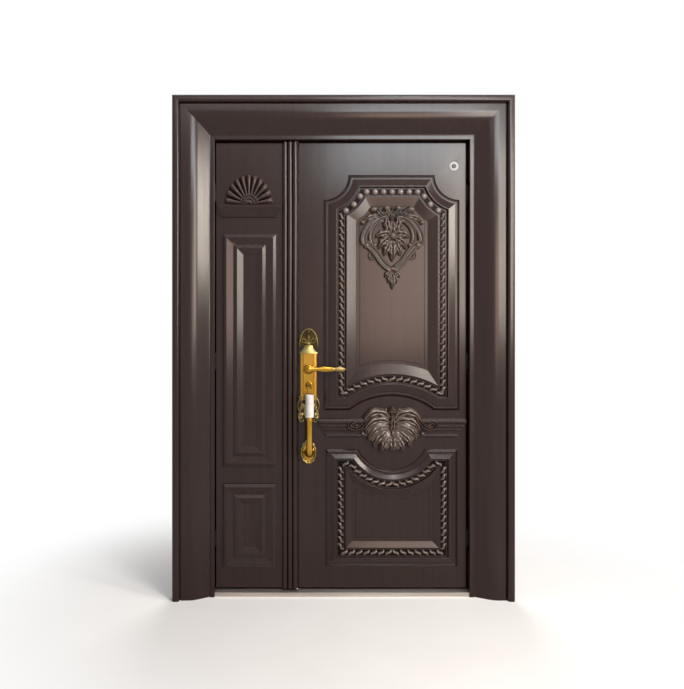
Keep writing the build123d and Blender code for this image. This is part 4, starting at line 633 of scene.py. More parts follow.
def casing_section():
    """The folded casing sheet in section, as (distance from the opening, Y)."""
    lip_back = LIP_FRONT - LIP_STEP
    splay_start = LIP_WIDTH + LIP_FLAT
    mould_end = splay_start + MOULD_WIDTH
    mould_front = lip_back + MOULD_RISE
    groove_near = mould_end + GROOVE_MARGIN
    groove_far = groove_near + GROOVE_WIDTH
    groove_floor = mould_front - GROOVE_DEPTH
    return rounded([
        (BACK_FLANGE, FRAME_BACK, 0),
        (-STOP_WIDTH, FRAME_BACK, FOLD),
        (-STOP_WIDTH, STOP_FRONT, FOLD),
        (0, STOP_FRONT, FOLD),
        (0, HINGE_SLOT_BACK, 0),
        (0, HINGE_SLOT_FRONT, 0),
        (0, -LIP_FRONT, FOLD),
        (LIP_WIDTH, -LIP_FRONT, QUIRK_FOLD),
        (LIP_WIDTH, -lip_back, QUIRK_FOLD),
        (splay_start, -lip_back, SPLAY_FOLD),
        (splay_start + SPLAY_WIDTH, -mould_front, SPLAY_ROUND),
        (groove_near, -mould_front, QUIRK_FOLD),
        (groove_near, -groove_floor, QUIRK_FOLD),
        (groove_far, -groove_floor, QUIRK_FOLD),
        (groove_far, -BAND_FRONT, BAND_ROUND),
        (CASING_WIDTH, -BAND_FRONT, BAND_ROUND),
        (CASING_WIDTH, 0, FOLD),
        (CASING_WIDTH - WALL_FLANGE, 0, 0),
    ], FOLD_STEPS)


def circle(centre, radius, steps=CIRCLE_STEPS):
    """Points of a closed circle."""
    return arc_points(centre, radius, 0, 360, steps)[:-1]


def jamb_shell(side):
    """One jamb: the section run up to its mitre, with hinge slots in the reveal and fixing holes."""
    section = casing_section()
    slots = [(z - HINGE_SLOT_HALF, z + HINGE_SLOT_HALF) for z in HINGE_HEIGHTS]
    holes = [(z - FIXING_MARGIN, z + FIXING_MARGIN) for z in FIXING_HEIGHTS]
    heights = sorted({0.0, *[z for pair in slots + holes for z in pair]})
    rows = [[(side * (OPENING_HALF + w), y, z) for w, y in section] for z in heights]
    rows.append([(side * (OPENING_HALF + w), y, OPENING_TOP + w) for w, y in section])
    slot_column = section.index((0, HINGE_SLOT_BACK))
    stop_column = 1 + FOLD_STEPS

    def cut(row, column):
        if row + 1 >= len(heights):
            return False
        pair = (heights[row], heights[row + 1])
        return (column == slot_column and pair in slots) or (column == stop_column and pair in holes)

    shell = Shell()
    shell.grid(rows, flip=side < 0, skip=cut)
    near = section[stop_column][1]
    far = section[stop_column + 1][1]
    for z, (low, high) in zip(FIXING_HEIGHTS, holes):
        outline = [(near, low), (far, low), (far, high), (near, high)]
        hole = circle(((STOP_FRONT + FRAME_BACK) / 2, z), FIXING_BORE)
        shell.plate(lambda y, h: (side * (OPENING_HALF - STOP_WIDTH), y, h), outline, [hole], flip=side > 0)
    return shell


def head_shell():
    """The head: the section run between its mitres, with a hole for each bolt in its reveal."""
    section = casing_section()
    reach = ROD_PLATE_HALF
    stops = sorted((ROD_X - reach, ROD_X + reach, FLUSH_X - reach, FLUSH_X + reach), reverse=True)
    rows = [[(OPENING_HALF + w, y, OPENING_TOP + w) for w, y in section]]
    rows += [[(x, y, OPENING_TOP + w) for w, y in section] for x in stops]
    rows.append([(-OPENING_HALF - w, y, OPENING_TOP + w) for w, y in section])
    reveal = section.index((0, HINGE_SLOT_BACK)) - 1
    shell = Shell()
    hole_rows = (1, 3)
    shell.grid(rows, skip=lambda row, column: column in (reveal, reveal + 1) and row in hole_rows)
    near = section[reveal][1]
    far = section[reveal + 2][1]
    for x in (ROD_X, FLUSH_X):
        outline = [(x - reach, near), (x + reach, near), (x + reach, far), (x - reach, far)]
        shell.plate(
            lambda u, v: (u, v, OPENING_TOP), outline, [circle((x, LOCK_PLANE), ROD_HOLE)], flip=True)
    return shell


# The leaves

def mirrored_loop(half):
    """A closed loop from its right half, which runs from the middle of its top to that of its foot."""
    return half + [(-x, z) for x, z in reversed(half[1:-1])]


def run(start, end, steps):
    """Points along a straight run, its first one included and its last one left out."""
    return [(start[0] + (end[0] - start[0]) * i / steps, start[1] + (end[1] - start[1]) * i / steps)
            for i in range(steps)]


def upper_outline(inset):
    """The upper panel's outline drawn in: scooped top corners and an arched foot."""
    half = UPPER_HALF - inset
    scoop = SCOOP_RADIUS + inset
    corner = math.sqrt(scoop ** 2 - inset ** 2)
    radius = sagitta_radius(ARCH_HALF_CHORD, ARCH_RISE)
    arch_z = UPPER_BOTTOM + ARCH_RISE - radius
    arch = radius + inset
    foot_z = UPPER_BOTTOM + inset
    foot = math.sqrt(arch ** 2 - (foot_z - arch_z) ** 2)
    if foot > half:
        foot = half
        foot_z = arch_z + math.sqrt(arch ** 2 - half ** 2)
    lean = math.degrees(math.asin(inset / scoop))
    top = (UPPER_HALF - corner, UPPER_TOP - inset)
    side = (half, UPPER_TOP - corner)
    points = run((0, top[1]), top, SIDE_STEPS)
    points += arc_points((UPPER_HALF, UPPER_TOP), scoop, 180 + lean, 270 - lean, ARC_STEPS)[:-1]
    points += run(side, (half, foot_z), SIDE_STEPS)
    points += run((half, foot_z), (foot, foot_z), 1)
    points += arc_points((0, arch_z), arch, math.degrees(math.acos(foot / arch)), 90, ARC_STEPS)
    return mirrored_loop(points)


def lower_outline(inset):
    """The lower panel's outline drawn in: its top sags in the middle."""
    half = LOWER_HALF - inset
    radius = sagitta_radius(NOTCH_HALF_CHORD, NOTCH_SAG)
    notch_z = LOWER_TOP - NOTCH_SAG + radius
    notch = radius + inset
    top = LOWER_TOP - inset
    chord = math.sqrt(notch ** 2 - (notch_z - top) ** 2)
    if chord > half:
        chord = half
        top = notch_z - math.sqrt(notch ** 2 - half ** 2)
    lean = math.degrees(math.asin(chord / notch))
    points = arc_points((0, notch_z), notch, -90, -90 + lean, ARC_STEPS)[:-1]
    points += run((chord, top), (half, top), 1)
    points += run((half, top), (half, LOWER_BOTTOM + inset), SIDE_STEPS)
    points += run((half, LOWER_BOTTOM + inset), (0, LOWER_BOTTOM + inset), SIDE_STEPS)
    points.append((0, LOWER_BOTTOM + inset))
    return mirrored_loop(points)


def oblong_outline(low, high):
    """The outline of a plain panel of the side leaf, as a function of its inset."""
    def outline(inset):
        half = SIDE_HALF - inset
        corners = run((0, high - inset), (half, high - inset), 2)
        corners += run((half, high - inset), (half, low + inset), SIDE_STEPS)
        corners += run((half, low + inset), (0, low + inset), 2)
        return mirrored_loop(corners + [(0, low + inset)])
    return outline


def main_profile(channel_inset, field_run):
    """(inset, height) over a main panel: splay, quirk, crest, channel, rim, dish, field and sunk line."""
    foot = channel_inset + CHANNEL_WIDTH
    field = foot + field_run
    parts = ((0.0, OUTER_SPLAY), (channel_inset, CHANNEL_CREST), (foot, FIELD_RIM), (field, DISH_FOOT),
             (field + FIELD_MARGIN, SUNK_LINE))
    corners = [(start + inset, height, fillet) for start, part in parts for inset, height, fillet in part]
    return rounded(corners, PROFILE_STEPS)


def add_panel(shell, x, outline, profile):
    """A panel on the front of a leaf, closed by its flat field."""
    rows = []
    for inset, height in profile:
        rows.append([(x + u, LEAF_FRONT - height, z) for u, z in outline(inset)])
    shell.grid(rows, wrap=True)
    inset, height = profile[-1]
    shell.plate(lambda u, z: (x + u, LEAF_FRONT - height, z), outline(inset))


def add_cornice(shell, form):
    """Bead, neck, stepped fillets and cap of a cornice as one closed body that returns to the leaf."""
    neck_low = form["low"] + form["bead"]
    neck_high = form["high"] - form["cap"]
    step = (neck_high - neck_low) / form["steps"]
    step_out = (form["cap_out"] - form["neck_out"]) / form["steps"]
    bead_round = form["bead"] * BEAD_ROUND_SHARE
    section = [
        (form["neck_out"] * CORNICE_FOOT_SHARE, form["low"], 0),
        (form["bead_out"], form["low"], bead_round),
        (form["bead_out"], neck_low, bead_round),
        (form["neck_out"], neck_low, NECK_CREASE),
    ]
    base = form["neck_out"]
    fillet = form["fillet"] * step
    chamfer = form["cap"] * CORNICE_CHAMFER
    for index in range(1, form["steps"]):
        z = neck_low + step * index
        out = form["neck_out"] + step_out * index
        section += [(base, z - fillet, STEP_CREASE), (out, z, STEP_EDGE), (out, z + fillet, STEP_EDGE)]
        base = out - CORNICE_SETBACK
        section.append((base, z + fillet + CORNICE_SETBACK, STEP_CREASE))
    section += [
        (base, neck_high - fillet, STEP_CREASE),
        (form["cap_out"], neck_high, CAP_FOOT_ROUND),
        (form["cap_out"], form["high"] - chamfer, STEP_EDGE),
        (form["cap_out"] - chamfer, form["high"], STEP_EDGE),
        (0.0, form["high"], 0),
    ]
    rows = []
    for out, z in rounded(section):
        share = (z - form["low"]) / (neck_high - form["low"])
        half = form["half_low"] + (form["half_high"] - form["half_low"]) * min(1.0, share)
        front = LEAF_FRONT - out
        seat = LEAF_FRONT + LEAF_SHEET / 2
        left, right = form["x"] - half, form["x"] + half
        rows.append([(left, seat, z), (left, front, z), (right, front, z), (right, seat, z)])
    shell.bar(rows)


def meeting_edge(side, y):
    """X of a leaf's bevelled meeting edge at a depth."""
    share = (y - LEAF_FRONT) / (LEAF_BACK - LEAF_FRONT)
    if side > 0:
        return MAIN_BOX[0][0] + MAIN_BEVEL * share
    return SIDE_BOX[1][0] - SIDE_BEVEL * share


def leaf_shell(side, front_holes, rod_x, pockets):
    """The pan of a leaf: its front with holes, folded edges, and four walls with their cut-outs."""
    hinge = MAIN_BOX[1][0] if side > 0 else SIDE_BOX[0][0]
    shell = Shell()
    rings = []
    for step in range(FOLD_STEPS + 1):
        turn = math.radians(90 * step / FOLD_STEPS)
        inset = LEAF_FOLD * (1 - math.sin(turn))
        y = LEAF_FRONT + LEAF_FOLD * (1 - math.cos(turn))
        meet = meeting_edge(side, LEAF_FRONT) + side * inset
        far = hinge - side * inset
        rings.append([(meet, y, LEAF_BOTTOM + inset), (far, y, LEAF_BOTTOM + inset),
                      (far, y, LEAF_TOP - inset), (meet, y, LEAF_TOP - inset)])
    outline = [(x, z) for x, y, z in rings[0]]
    shell.plate(lambda x, z: (x, LEAF_FRONT, z), outline, front_holes)
    shell.grid(rings, wrap=True)
    near = LEAF_FRONT + LEAF_FOLD

    def edge(y):
        return meeting_edge(side, LEAF_FRONT) if y == near else meeting_edge(side, y)

    wall = [(near, LEAF_BOTTOM), (LEAF_BACK, LEAF_BOTTOM), (LEAF_BACK, LEAF_TOP), (near, LEAF_TOP)]
    shell.plate(lambda y, z: (edge(y), y, z), wall, pockets)
    shell.plate(lambda y, z: (hinge, y, z), wall)
    for z in (LEAF_BOTTOM, LEAF_TOP):
        flat = [(edge(near), near), (hinge, near), (hinge, LEAF_BACK), (edge(LEAF_BACK), LEAF_BACK)]
        shell.plate(lambda x, y: (x, y, z), flat, [circle((rod_x, LOCK_PLANE), ROD_HOLE)])
    return shell


def oblong(u_low, u_high, v_low, v_high):
    """The four corners of an oblong."""
    return [(u_low, v_low), (u_high, v_low), (u_high, v_high), (u_low, v_high)]


def pocket_of(node):
    """The cut-out in a meeting edge for a plate let into it, as (Y, Z) points."""
    low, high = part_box(node)
    return oblong(low[1], high[1], low[2], high[2])


def main_skin():
    """The pressed front of the main leaf with its two panels."""
    outlines = [upper_outline, lower_outline]
    holes = [[(MAIN_PANEL_X + x, z) for x, z in outline(0.0)] for outline in outlines]
    holes += [circle((HANDLE_X, LEVER_Z), SPINDLE_HOLE), circle((HANDLE_X, CYLINDER_Z), CYLINDER_HOLE)]
    holes.append(circle((VIEWER_X, VIEWER_Z), VIEWER_HOLE))
    shell = leaf_shell(1, holes, ROD_X, [pocket_of("lock_faceplate")])
    add_panel(shell, MAIN_PANEL_X, upper_outline, main_profile(UPPER_CHANNEL_INSET, UPPER_FIELD_RUN))
    add_panel(shell, MAIN_PANEL_X, lower_outline, main_profile(LOWER_CHANNEL_INSET, LOWER_FIELD_RUN))
    return shell


def side_skin():
    """The pressed front of the side leaf with its two panels."""
    outlines = [oblong_outline(TALL_BOTTOM, TALL_TOP), oblong_outline(SHORT_BOTTOM, SHORT_TOP)]
    holes = [[(SIDE_PANEL_X + x, z) for x, z in outline(0.0)] for outline in outlines]
    plates = ("strike_plate", "top_flush_bolt_plate", "bottom_flush_bolt_plate")
    pockets = [pocket_of(node) for node in plates]
    shell = leaf_shell(-1, holes, FLUSH_X, pockets)
    for outline in outlines:
        add_panel(shell, SIDE_PANEL_X, outline, rounded(SIDE_SECTION, PROFILE_STEPS))
    return shell


def strip_shell():
    """The reeded strip on the meeting edge of the side leaf."""
    left, right = STRIP_BOX[0][0], STRIP_BOX[1][0]
    reed = (right - left) / STRIP_REEDS / 2
    front = LEAF_FRONT - STRIP_BASE
    section = [(left, LEAF_FRONT)]
    for index in range(STRIP_REEDS):
        section += arc_points((left + reed * (2 * index + 1), front), reed, 180, 360, REED_STEPS)
    section.append((right, LEAF_FRONT))
    shell = Shell()
    shell.bar([[(x, y, z) for x, y in section] for z in (LEAF_BOTTOM, LEAF_TOP)])
    return shell


def foot_seal_shell():
    """A rubber lip that closes the meeting gap under the main leaf's seal."""
    low, high = SEAL_BOX
    sill = SILL_TOP + FOOT_SEAL_GAP
    top = low[2] - FOOT_SEAL_GAP
    section = rounded([(low[1], top, 0), (low[1], sill, FOOT_SEAL_ROUND), (high[1], sill, FOOT_SEAL_ROUND),
                       (high[1], top, 0)], ARC_STEPS)
    shell = Shell()
    shell.bar([[(x, y, z) for y, z in section] for x in (low[0] - FOOT_SEAL_REACH, high[0])])
    return shell


# Ropes and pearls

def add_dome(shell, place, half_u, half_v, height, around=16, up=5):
    """A rounded boss; place(u, v, h) sets a point of its own flat frame in space."""
    rows = []
    for step in range(up):
        turn = math.pi / 2 * step / up
        row = []
        for index in range(around):
            angle = 2 * math.pi * index / around
            u = half_u * math.cos(turn) * math.cos(angle)
            v = half_v * math.cos(turn) * math.sin(angle)
            row.append(place(u, v, height * math.sin(turn)))
        rows.append(row)
    shell.grid(rows, wrap=True)
    top = place(0.0, 0.0, height)
    shell.add(rows[-1] + [top], [(i, (i + 1) % around, around) for i in range(around)])
    shell.cap(rows[0])


def on_front(x, z, angle, base):
    """Sets a flat frame at a point of the front, turned by an angle in degrees, at a height there."""
    turn = math.radians(angle)
    across = (math.cos(turn), math.sin(turn))

    def place(u, v, height):
        x_there = x + u * across[0] - v * across[1]
        z_there = z + u * across[1] + v * across[0]
        return (x_there, LEAF_FRONT - base - height, z_there)
    return place


def add_link(shell, x, z, angle, hand):
    """One strand of a rope, slanted across it."""
    place = on_front(x, z, angle - hand * (90 - ROPE_SLANT), CHANNEL_HEIGHT)
    long, thick = ROPE_WIDTH * STRAND_LONG_SHARE, ROPE_PITCH * STRAND_THICK_SHARE

    def curled(u, v, height):
        return place(u, v + hand * ROPE_CURL * math.sin(math.pi * u / long), height)
    add_dome(shell, curled, long, thick, ROPE_HEIGHT)


def add_pearl(shell, x, z):
    """One pearl in a channel."""
    # the pearls take the light lacquer: rubbed paint and a painted highlight
    shell.tone = PEARL_TONE
    height = PEARL_RADIUS * PEARL_RISE_SHARE
    add_dome(shell, on_front(x, z, 0, CHANNEL_HEIGHT), PEARL_RADIUS, PEARL_RADIUS, height)
    shell.tone = STRAND_TONE


def add_straight_rope(shell, start, end, hand):
    """Rope along a straight run; hand is the way its strands slant."""
    length = math.dist(start, end)
    angle = math.degrees(math.atan2(end[1] - start[1], end[0] - start[0]))
    for along in spaced(0, length, ROPE_PITCH):
        share = along / length
        x = start[0] + (end[0] - start[0]) * share
        z = start[1] + (end[1] - start[1]) * share
        add_link(shell, MAIN_PANEL_X + x, z, angle, hand)


def add_arc_rope(shell, centre_z, radius, middle, reach):
    """Rope along an arc about its middle angle, in degrees, slanting away from the middle."""
    for turn in spaced(-reach, reach, math.degrees(ROPE_PITCH / radius)):
        angle = middle + turn
        x = radius * math.cos(math.radians(angle))
        z = centre_z + radius * math.sin(math.radians(angle))
        add_link(shell, MAIN_PANEL_X + x, z, angle + 90, 1 if turn > 0 else -1)


def add_band(shell, outline, channel_inset):
    """The flat band under a rope row, near black as painted shade between the strands."""
    start = channel_inset + (CHANNEL_WIDTH - ROPE_WIDTH) / 2
    end = start + ROPE_WIDTH
    top = CHANNEL_HEIGHT + ROPE_BASE
    profile = [(start, CHANNEL_HEIGHT), (start + ROPE_BASE / 2, top), (end - ROPE_BASE / 2, top),
               (end, CHANNEL_HEIGHT), (start, CHANNEL_HEIGHT)]
    rows = []
    for inset, height in profile:
        rows.append([(MAIN_PANEL_X + u, LEAF_FRONT - height, z) for u, z in outline(inset)])
    shell.tone = BAND_SHADE_TONE
    shell.grid(rows, wrap=True)
    shell.tone = STRAND_TONE


def upper_rope():
    """Rope and pearls round the upper panel."""
    inset = UPPER_CHANNEL_INSET + CHANNEL_WIDTH / 2
    half = UPPER_HALF - inset
    scoop = SCOOP_RADIUS + inset
    corner = math.sqrt(scoop ** 2 - inset ** 2)
    radius = sagitta_radius(ARCH_HALF_CHORD, ARCH_RISE)
    arch_z = UPPER_BOTTOM + ARCH_RISE - radius
    arch = radius + inset
    low = max(UPPER_BOTTOM + inset, arch_z + math.sqrt(arch ** 2 - half ** 2))
    lean = math.degrees(math.asin(inset / scoop))
    shell = Shell()
    add_band(shell, upper_outline, UPPER_CHANNEL_INSET)
    for side in (-1, 1):
        add_straight_rope(shell, (side * half, low), (side * half, UPPER_TOP - corner), side)
        for turn in spaced(180 + lean, 270 - lean, math.degrees(PEARL_PITCH / scoop)):
            x = UPPER_HALF + scoop * math.cos(math.radians(turn))
            add_pearl(shell, MAIN_PANEL_X + side * x, UPPER_TOP + scoop * math.sin(math.radians(turn)))
    top_half = UPPER_HALF - corner
    for x in spaced(-top_half, top_half, PEARL_PITCH):
        add_pearl(shell, MAIN_PANEL_X + x, UPPER_TOP - inset)
    add_arc_rope(shell, arch_z, arch, 90, math.degrees(math.asin(min(half, arch) / arch)))
    return shell


def lower_rope():
    """Rope round the lower panel."""
    inset = LOWER_CHANNEL_INSET + CHANNEL_WIDTH / 2
    half = LOWER_HALF - inset
    low = LOWER_BOTTOM + inset
    high = LOWER_TOP - inset
    radius = sagitta_radius(NOTCH_HALF_CHORD, NOTCH_SAG)
    notch_z = LOWER_TOP - NOTCH_SAG + radius
    notch = radius + inset
    reach = math.sqrt(notch ** 2 - (notch_z - high) ** 2)
    wide = ROPE_WIDTH / 2
    shell = Shell()
    add_band(shell, lower_outline, LOWER_CHANNEL_INSET)
    for side in (-1, 1):
        add_straight_rope(shell, (side * half, low + wide), (side * half, high - wide), side)
        add_straight_rope(shell, (0, low), (side * half, low), side)
        add_straight_rope(shell, (side * reach, high), (side * half, high), side)
    add_arc_rope(shell, notch_z, notch, -90, math.degrees(math.asin(reach / notch)))
    return shell


# Carving

# sections of a strap: place across it and rise, as shares of half its width and of its height
STRAP_SIDE = ((-1.0, 0.0), (-0.98, 0.45), (-0.86, 0.82), (-0.68, 0.98), (-0.45, 0.86), (-0.2, 0.66),
              (0.0, 0.6))
STRAP_SECTION = STRAP_SIDE + tuple((-side, rise) for side, rise in reversed(STRAP_SIDE[:-1]))
ROUND_SECTION = tuple((-u, v) for u, v in arc_points((0.0, 0.0), 1.0, 0, 180, 12))
STRAP_END_SHARE = 0.55
STRAP_END_GAIN = 3.0


def smooth_path(points, steps=8):
    """A smooth curve through flat points."""
    ends = [points[0], *points, points[-1]]
    curve = []
    for a, b, c, d in zip(ends, ends[1:], ends[2:], ends[3:]):
        for index in range(steps):
            t = index / steps
            curve.append(tuple(
                0.5 * (2 * q + (r - p) * t + (2 * p - 5 * q + 4 * r - w) * t ** 2
                       + (3 * q - p - 3 * r + w) * t ** 3)
                for p, q, r, w in zip(a, b, c, d)))
    return curve + [tuple(points[-1])]


def spiral(centre, start, end, first, last, steps=20):
    """Points of a spiral; start and end are radii, first and last are angles in degrees."""
    points = []
    for index in range(steps + 1):
        share = index / steps
        turn = math.radians(first + (last - first) * share)
        radius = start + (end - start) * share
        points.append((centre[0] + radius * math.cos(turn), centre[1] + radius * math.sin(turn)))
    return points


def add_strap(shell, place, path, width, height, taper=(1.0, 1.0), section=STRAP_SECTION):
    """A carved strap along a flat path; taper is its size at both ends."""
    rows = []
    last = len(path) - 1
    for index, (u, v) in enumerate(path):
        before = path[max(0, index - 1)]
        after = path[min(last, index + 1)]
        along = Vector((after[0] - before[0], after[1] - before[1])).normalized()
        share = index / last
        size = taper[0] + (taper[1] - taper[0]) * share
        size *= min(1.0, STRAP_END_SHARE + STRAP_END_GAIN * min(share, 1 - share))
        rows.append([
            place(u - along.y * side * size * width / 2, v + along.x * side * size * width / 2,
                  rise * height * size)
            for side, rise in section])
    shell.bar(rows)


# form of a carved leaf: its lobes, how its width and crest run from root to tip, its arch, vein and ribs
LEAF_ROWS = 16
LEAF_COLUMNS = 10
LEAF_LOBES = 3
LEAF_LOBE_SHARE = 0.17
LEAF_STEM_SHARE = 0.14
LEAF_BELLY_POWER = 0.8
LEAF_WIDTH_POWER = 0.75
LEAF_RISE_SHARE = 0.6
LEAF_CREST_RUN = 1.05
LEAF_CURL_SHARE = 0.28
LEAF_TIP_SLOPE = 2.6
LEAF_TIP_SHARE = 0.35
LEAF_ARCH_SHARE = 0.62
LEAF_ARCH_POWER = 2.2
LEAF_VEIN_SHARE = 0.30
LEAF_VEIN_WIDTH = 0.16
LEAF_RIB_SHARE = 0.10
LEAF_RIB_SLANT = 0.55


def add_leaf(shell, place, root, angle, length, width, height, bend=0.0):
    """An acanthus leaf from its root: lobed edge, vein, ribs to its lobes, and a tip that curls up."""
    rows = []
    u, v = root
    turn = math.radians(angle)
    for i in range(LEAF_ROWS + 1):
        t = i / LEAF_ROWS
        belly = min(1.0, t * (1 - LEAF_STEM_SHARE) + LEAF_STEM_SHARE) ** LEAF_BELLY_POWER
        half = width / 2 * math.sin(math.pi * belly) ** LEAF_WIDTH_POWER
        half *= 1 + LEAF_LOBE_SHARE * math.cos(2 * math.pi * LEAF_LOBES * t + math.pi) * (1 - t)
        swell = (1 - LEAF_RISE_SHARE) * math.sin(math.pi * min(1.0, t * LEAF_CREST_RUN))
        crest = height * (LEAF_RISE_SHARE + swell + LEAF_CURL_SHARE * t ** 3)
        crest *= min(1.0, LEAF_TIP_SLOPE * (1 - t) + LEAF_TIP_SHARE)
        left = (-math.sin(turn), math.cos(turn))
        row = []
        for j in range(LEAF_COLUMNS + 1):
            s = 2 * j / LEAF_COLUMNS - 1
            arch = 1 - LEAF_ARCH_SHARE * abs(s) ** LEAF_ARCH_POWER
            vein = LEAF_VEIN_SHARE * math.exp(-(s / LEAF_VEIN_WIDTH) ** 2)
            wave = math.cos(2 * math.pi * (LEAF_LOBES * t + LEAF_RIB_SLANT * abs(s)))
            rib = LEAF_RIB_SHARE * wave * (1 - abs(abs(s) - LEAF_RIB_SLANT))
            row.append(place(u + left[0] * half * s, v + left[1] * half * s, crest * (arch - vein + rib)))
        first = place(u - left[0] * half, v - left[1] * half, 0.0)
        final = place(u + left[0] * half, v + left[1] * half, 0.0)
        rows.append([first, *row, final])
        u += math.cos(turn) * length / LEAF_ROWS
        v += math.sin(turn) * length / LEAF_ROWS
        turn += math.radians(bend) / LEAF_ROWS
    shell.bar(rows)


def flipped(place):
    """The mirror image of a flat frame."""
    return lambda u, v, height: place(-u, v, height)


def shifted(place, across, up):
    """A flat frame moved within its plane."""
    return lambda u, v, height: place(across + u, up + v, height)


# Carvings on the right of their middle, in shares of half their width and of their height; a strap has its
# path, width and rise

CARTOUCHE_STRAPS = (
    (((0.06, 0.88), (0.36, 0.885), (0.66, 0.80), (0.85, 0.68), (0.90, 0.585), (0.80, 0.525)), 0.085, 0.70),
    (((0.14, 0.80), (0.34, 0.83), (0.56, 0.76), (0.66, 0.66), (0.64, 0.57), (0.55, 0.53)), 0.068, 0.58),
    (((0.94, 0.56), (0.74, 0.53), (0.52, 0.44), (0.32, 0.33), (0.12, 0.265), (0.0, 0.262)), 0.092, 0.72),
    (((0.60, 0.47), (0.70, 0.425), (0.66, 0.375), (0.55, 0.385), (0.56, 0.41)), 0.042, 0.42),
)
# root, angle, length and width as shares of the height, bend in degrees, rise as a share
CARTOUCHE_LEAVES = (
    (0.05, 0.86, 66, 0.15, 0.080, -20, 0.8),
    (0.24, 0.86, 38, 0.19, 0.095, 24, 0.9),
    (0.40, 0.885, -8, 0.225, 0.095, -26, 0.75),
    (0.07, 0.68, 60, 0.22, 0.105, 44, 0.95),
    (0.08, 0.66, 16, 0.19, 0.115, -64, 0.95),
    (0.08, 0.62, -22, 0.20, 0.120, -52, 1.0),
    (0.05, 0.57, -54, 0.19, 0.115, -24, 0.95),
    (0.05, 0.215, -28, 0.105, 0.075, -40, 0.7),
    (0.03, 0.19, -64, 0.125, 0.070, -14, 0.7),
)
CARTOUCHE_MIDDLE_LEAVES = (
    (0.0, 0.82, 90, 0.17, 0.085, 0, 0.85),
    (0.0, 0.66, 90, 0.19, 0.105, 0, 0.9),
    (0.0, 0.58, -90, 0.25, 0.120, 0, 1.0),
    (0.0, 0.20, -90, 0.20, 0.085, 0, 0.85),
)
# place, half width and half height (shares of the height) and rise of each boss
CARTOUCHE_BOSSES = (
    (0.0, 0.640, 0.050, 0.046, 1.15), (0.80, 0.525, 0.040, 0.040, 0.85), (0.55, 0.53, 0.030, 0.030, 0.72),
    (0.18, 0.970, 0.042, 0.032, 0.9), (0.57, 0.955, 0.054, 0.038, 0.95), (0.92, 0.80, 0.034, 0.028, 0.8),
    (0.55, 0.395, 0.018, 0.018, 0.5), (0.0, 0.25, 0.044, 0.028, 0.8),
)
ROSETTE_LEAVES = (
    (0.08, 0.74, 55, 0.74, 0.215, -150, 0.84),
    (0.08, 0.65, 34, 0.68, 0.215, -122, 0.94),
    (0.08, 0.55, 12, 0.60, 0.210, -98, 1.00),
    (0.07, 0.46, -14, 0.52, 0.205, -72, 0.96),
    (0.05, 0.38, -44, 0.43, 0.195, -40, 0.90),
    (0.05, 0.84, 58, 0.14, 0.130, 30, 0.75),
)
ROSETTE_MIDDLE_LEAVES = (
    (0.0, 0.84, 90, 0.17, 0.14, 0, 0.85),
    (0.0, 0.46, 90, 0.42, 0.15, 0, 1.0),
    (0.0, 0.38, -90, 0.37, 0.23, 0, 0.92),
)
ROSETTE_STRAPS = (
    (((0.50, 0.80), (0.62, 0.66), (0.74, 0.54), (0.88, 0.53), (0.96, 0.60), (0.88, 0.67), (0.79, 0.63)),
     0.075, 0.80),
)
ROSETTE_BOSSES = (
    (0.0, 0.42, 0.050, 0.100, 0.9), (0.66, 0.42, 0.048, 0.048, 0.75), (0.31, 0.50, 0.27, 0.31, 0.80),
    (0.13, 0.30, 0.19, 0.24, 0.74),
    (0.15, 0.94, 0.044, 0.036, 0.8), (0.80, 0.60, 0.030, 0.030, 0.75),
)


def carving_shell(box, base, straps, sided, middles, bosses):
    """A carving that fills its box from a height on the front, alike on both sides of its middle."""
    low, high = box
    half, tall, out = (high[0] - low[0]) / 2, high[2] - low[2], LEAF_FRONT - base - low[1]
    shell = Shell()
    place = on_front((low[0] + high[0]) / 2, low[2], 0, base)
    for mirror in (place, flipped(place)):
        for path, width, rise in straps:
            curve = smooth_path([(half * u, tall * v) for u, v in path])
            add_strap(shell, mirror, curve, tall * width, out * rise)
        for u, v, angle, length, width, bend, rise in sided:
            root = (half * u, tall * v)
            add_leaf(shell, mirror, root, angle, tall * length, tall * width, out * rise, bend)
    for u, v, angle, length, width, bend, rise in middles:
        root = (half * u, tall * v)
        add_leaf(shell, place, root, angle, tall * length, tall * width, out * rise, bend)
    for u, v, wide, high, rise in bosses:
        for side in ((1, -1) if u else (1,)):
            boss = shifted(place, side * half * u, tall * v)
            add_dome(shell, boss, tall * wide, tall * high, out * rise)
    return shell


def cartouche_shell():
    """Scrolled straps round a spray of leaves, with a drop below."""
    return carving_shell(CARTOUCHE_BOX, FIELD_HEIGHT, CARTOUCHE_STRAPS, CARTOUCHE_LEAVES,
                         CARTOUCHE_MIDDLE_LEAVES, CARTOUCHE_BOSSES)


def rosette_shell():
    """Long leaves drooping in a fan each side of a stalk, and a tendril each side."""
    return carving_shell(ROSETTE_BOX, RAIL["neck_out"], ROSETTE_STRAPS, ROSETTE_LEAVES,
                         ROSETTE_MIDDLE_LEAVES, ROSETTE_BOSSES)


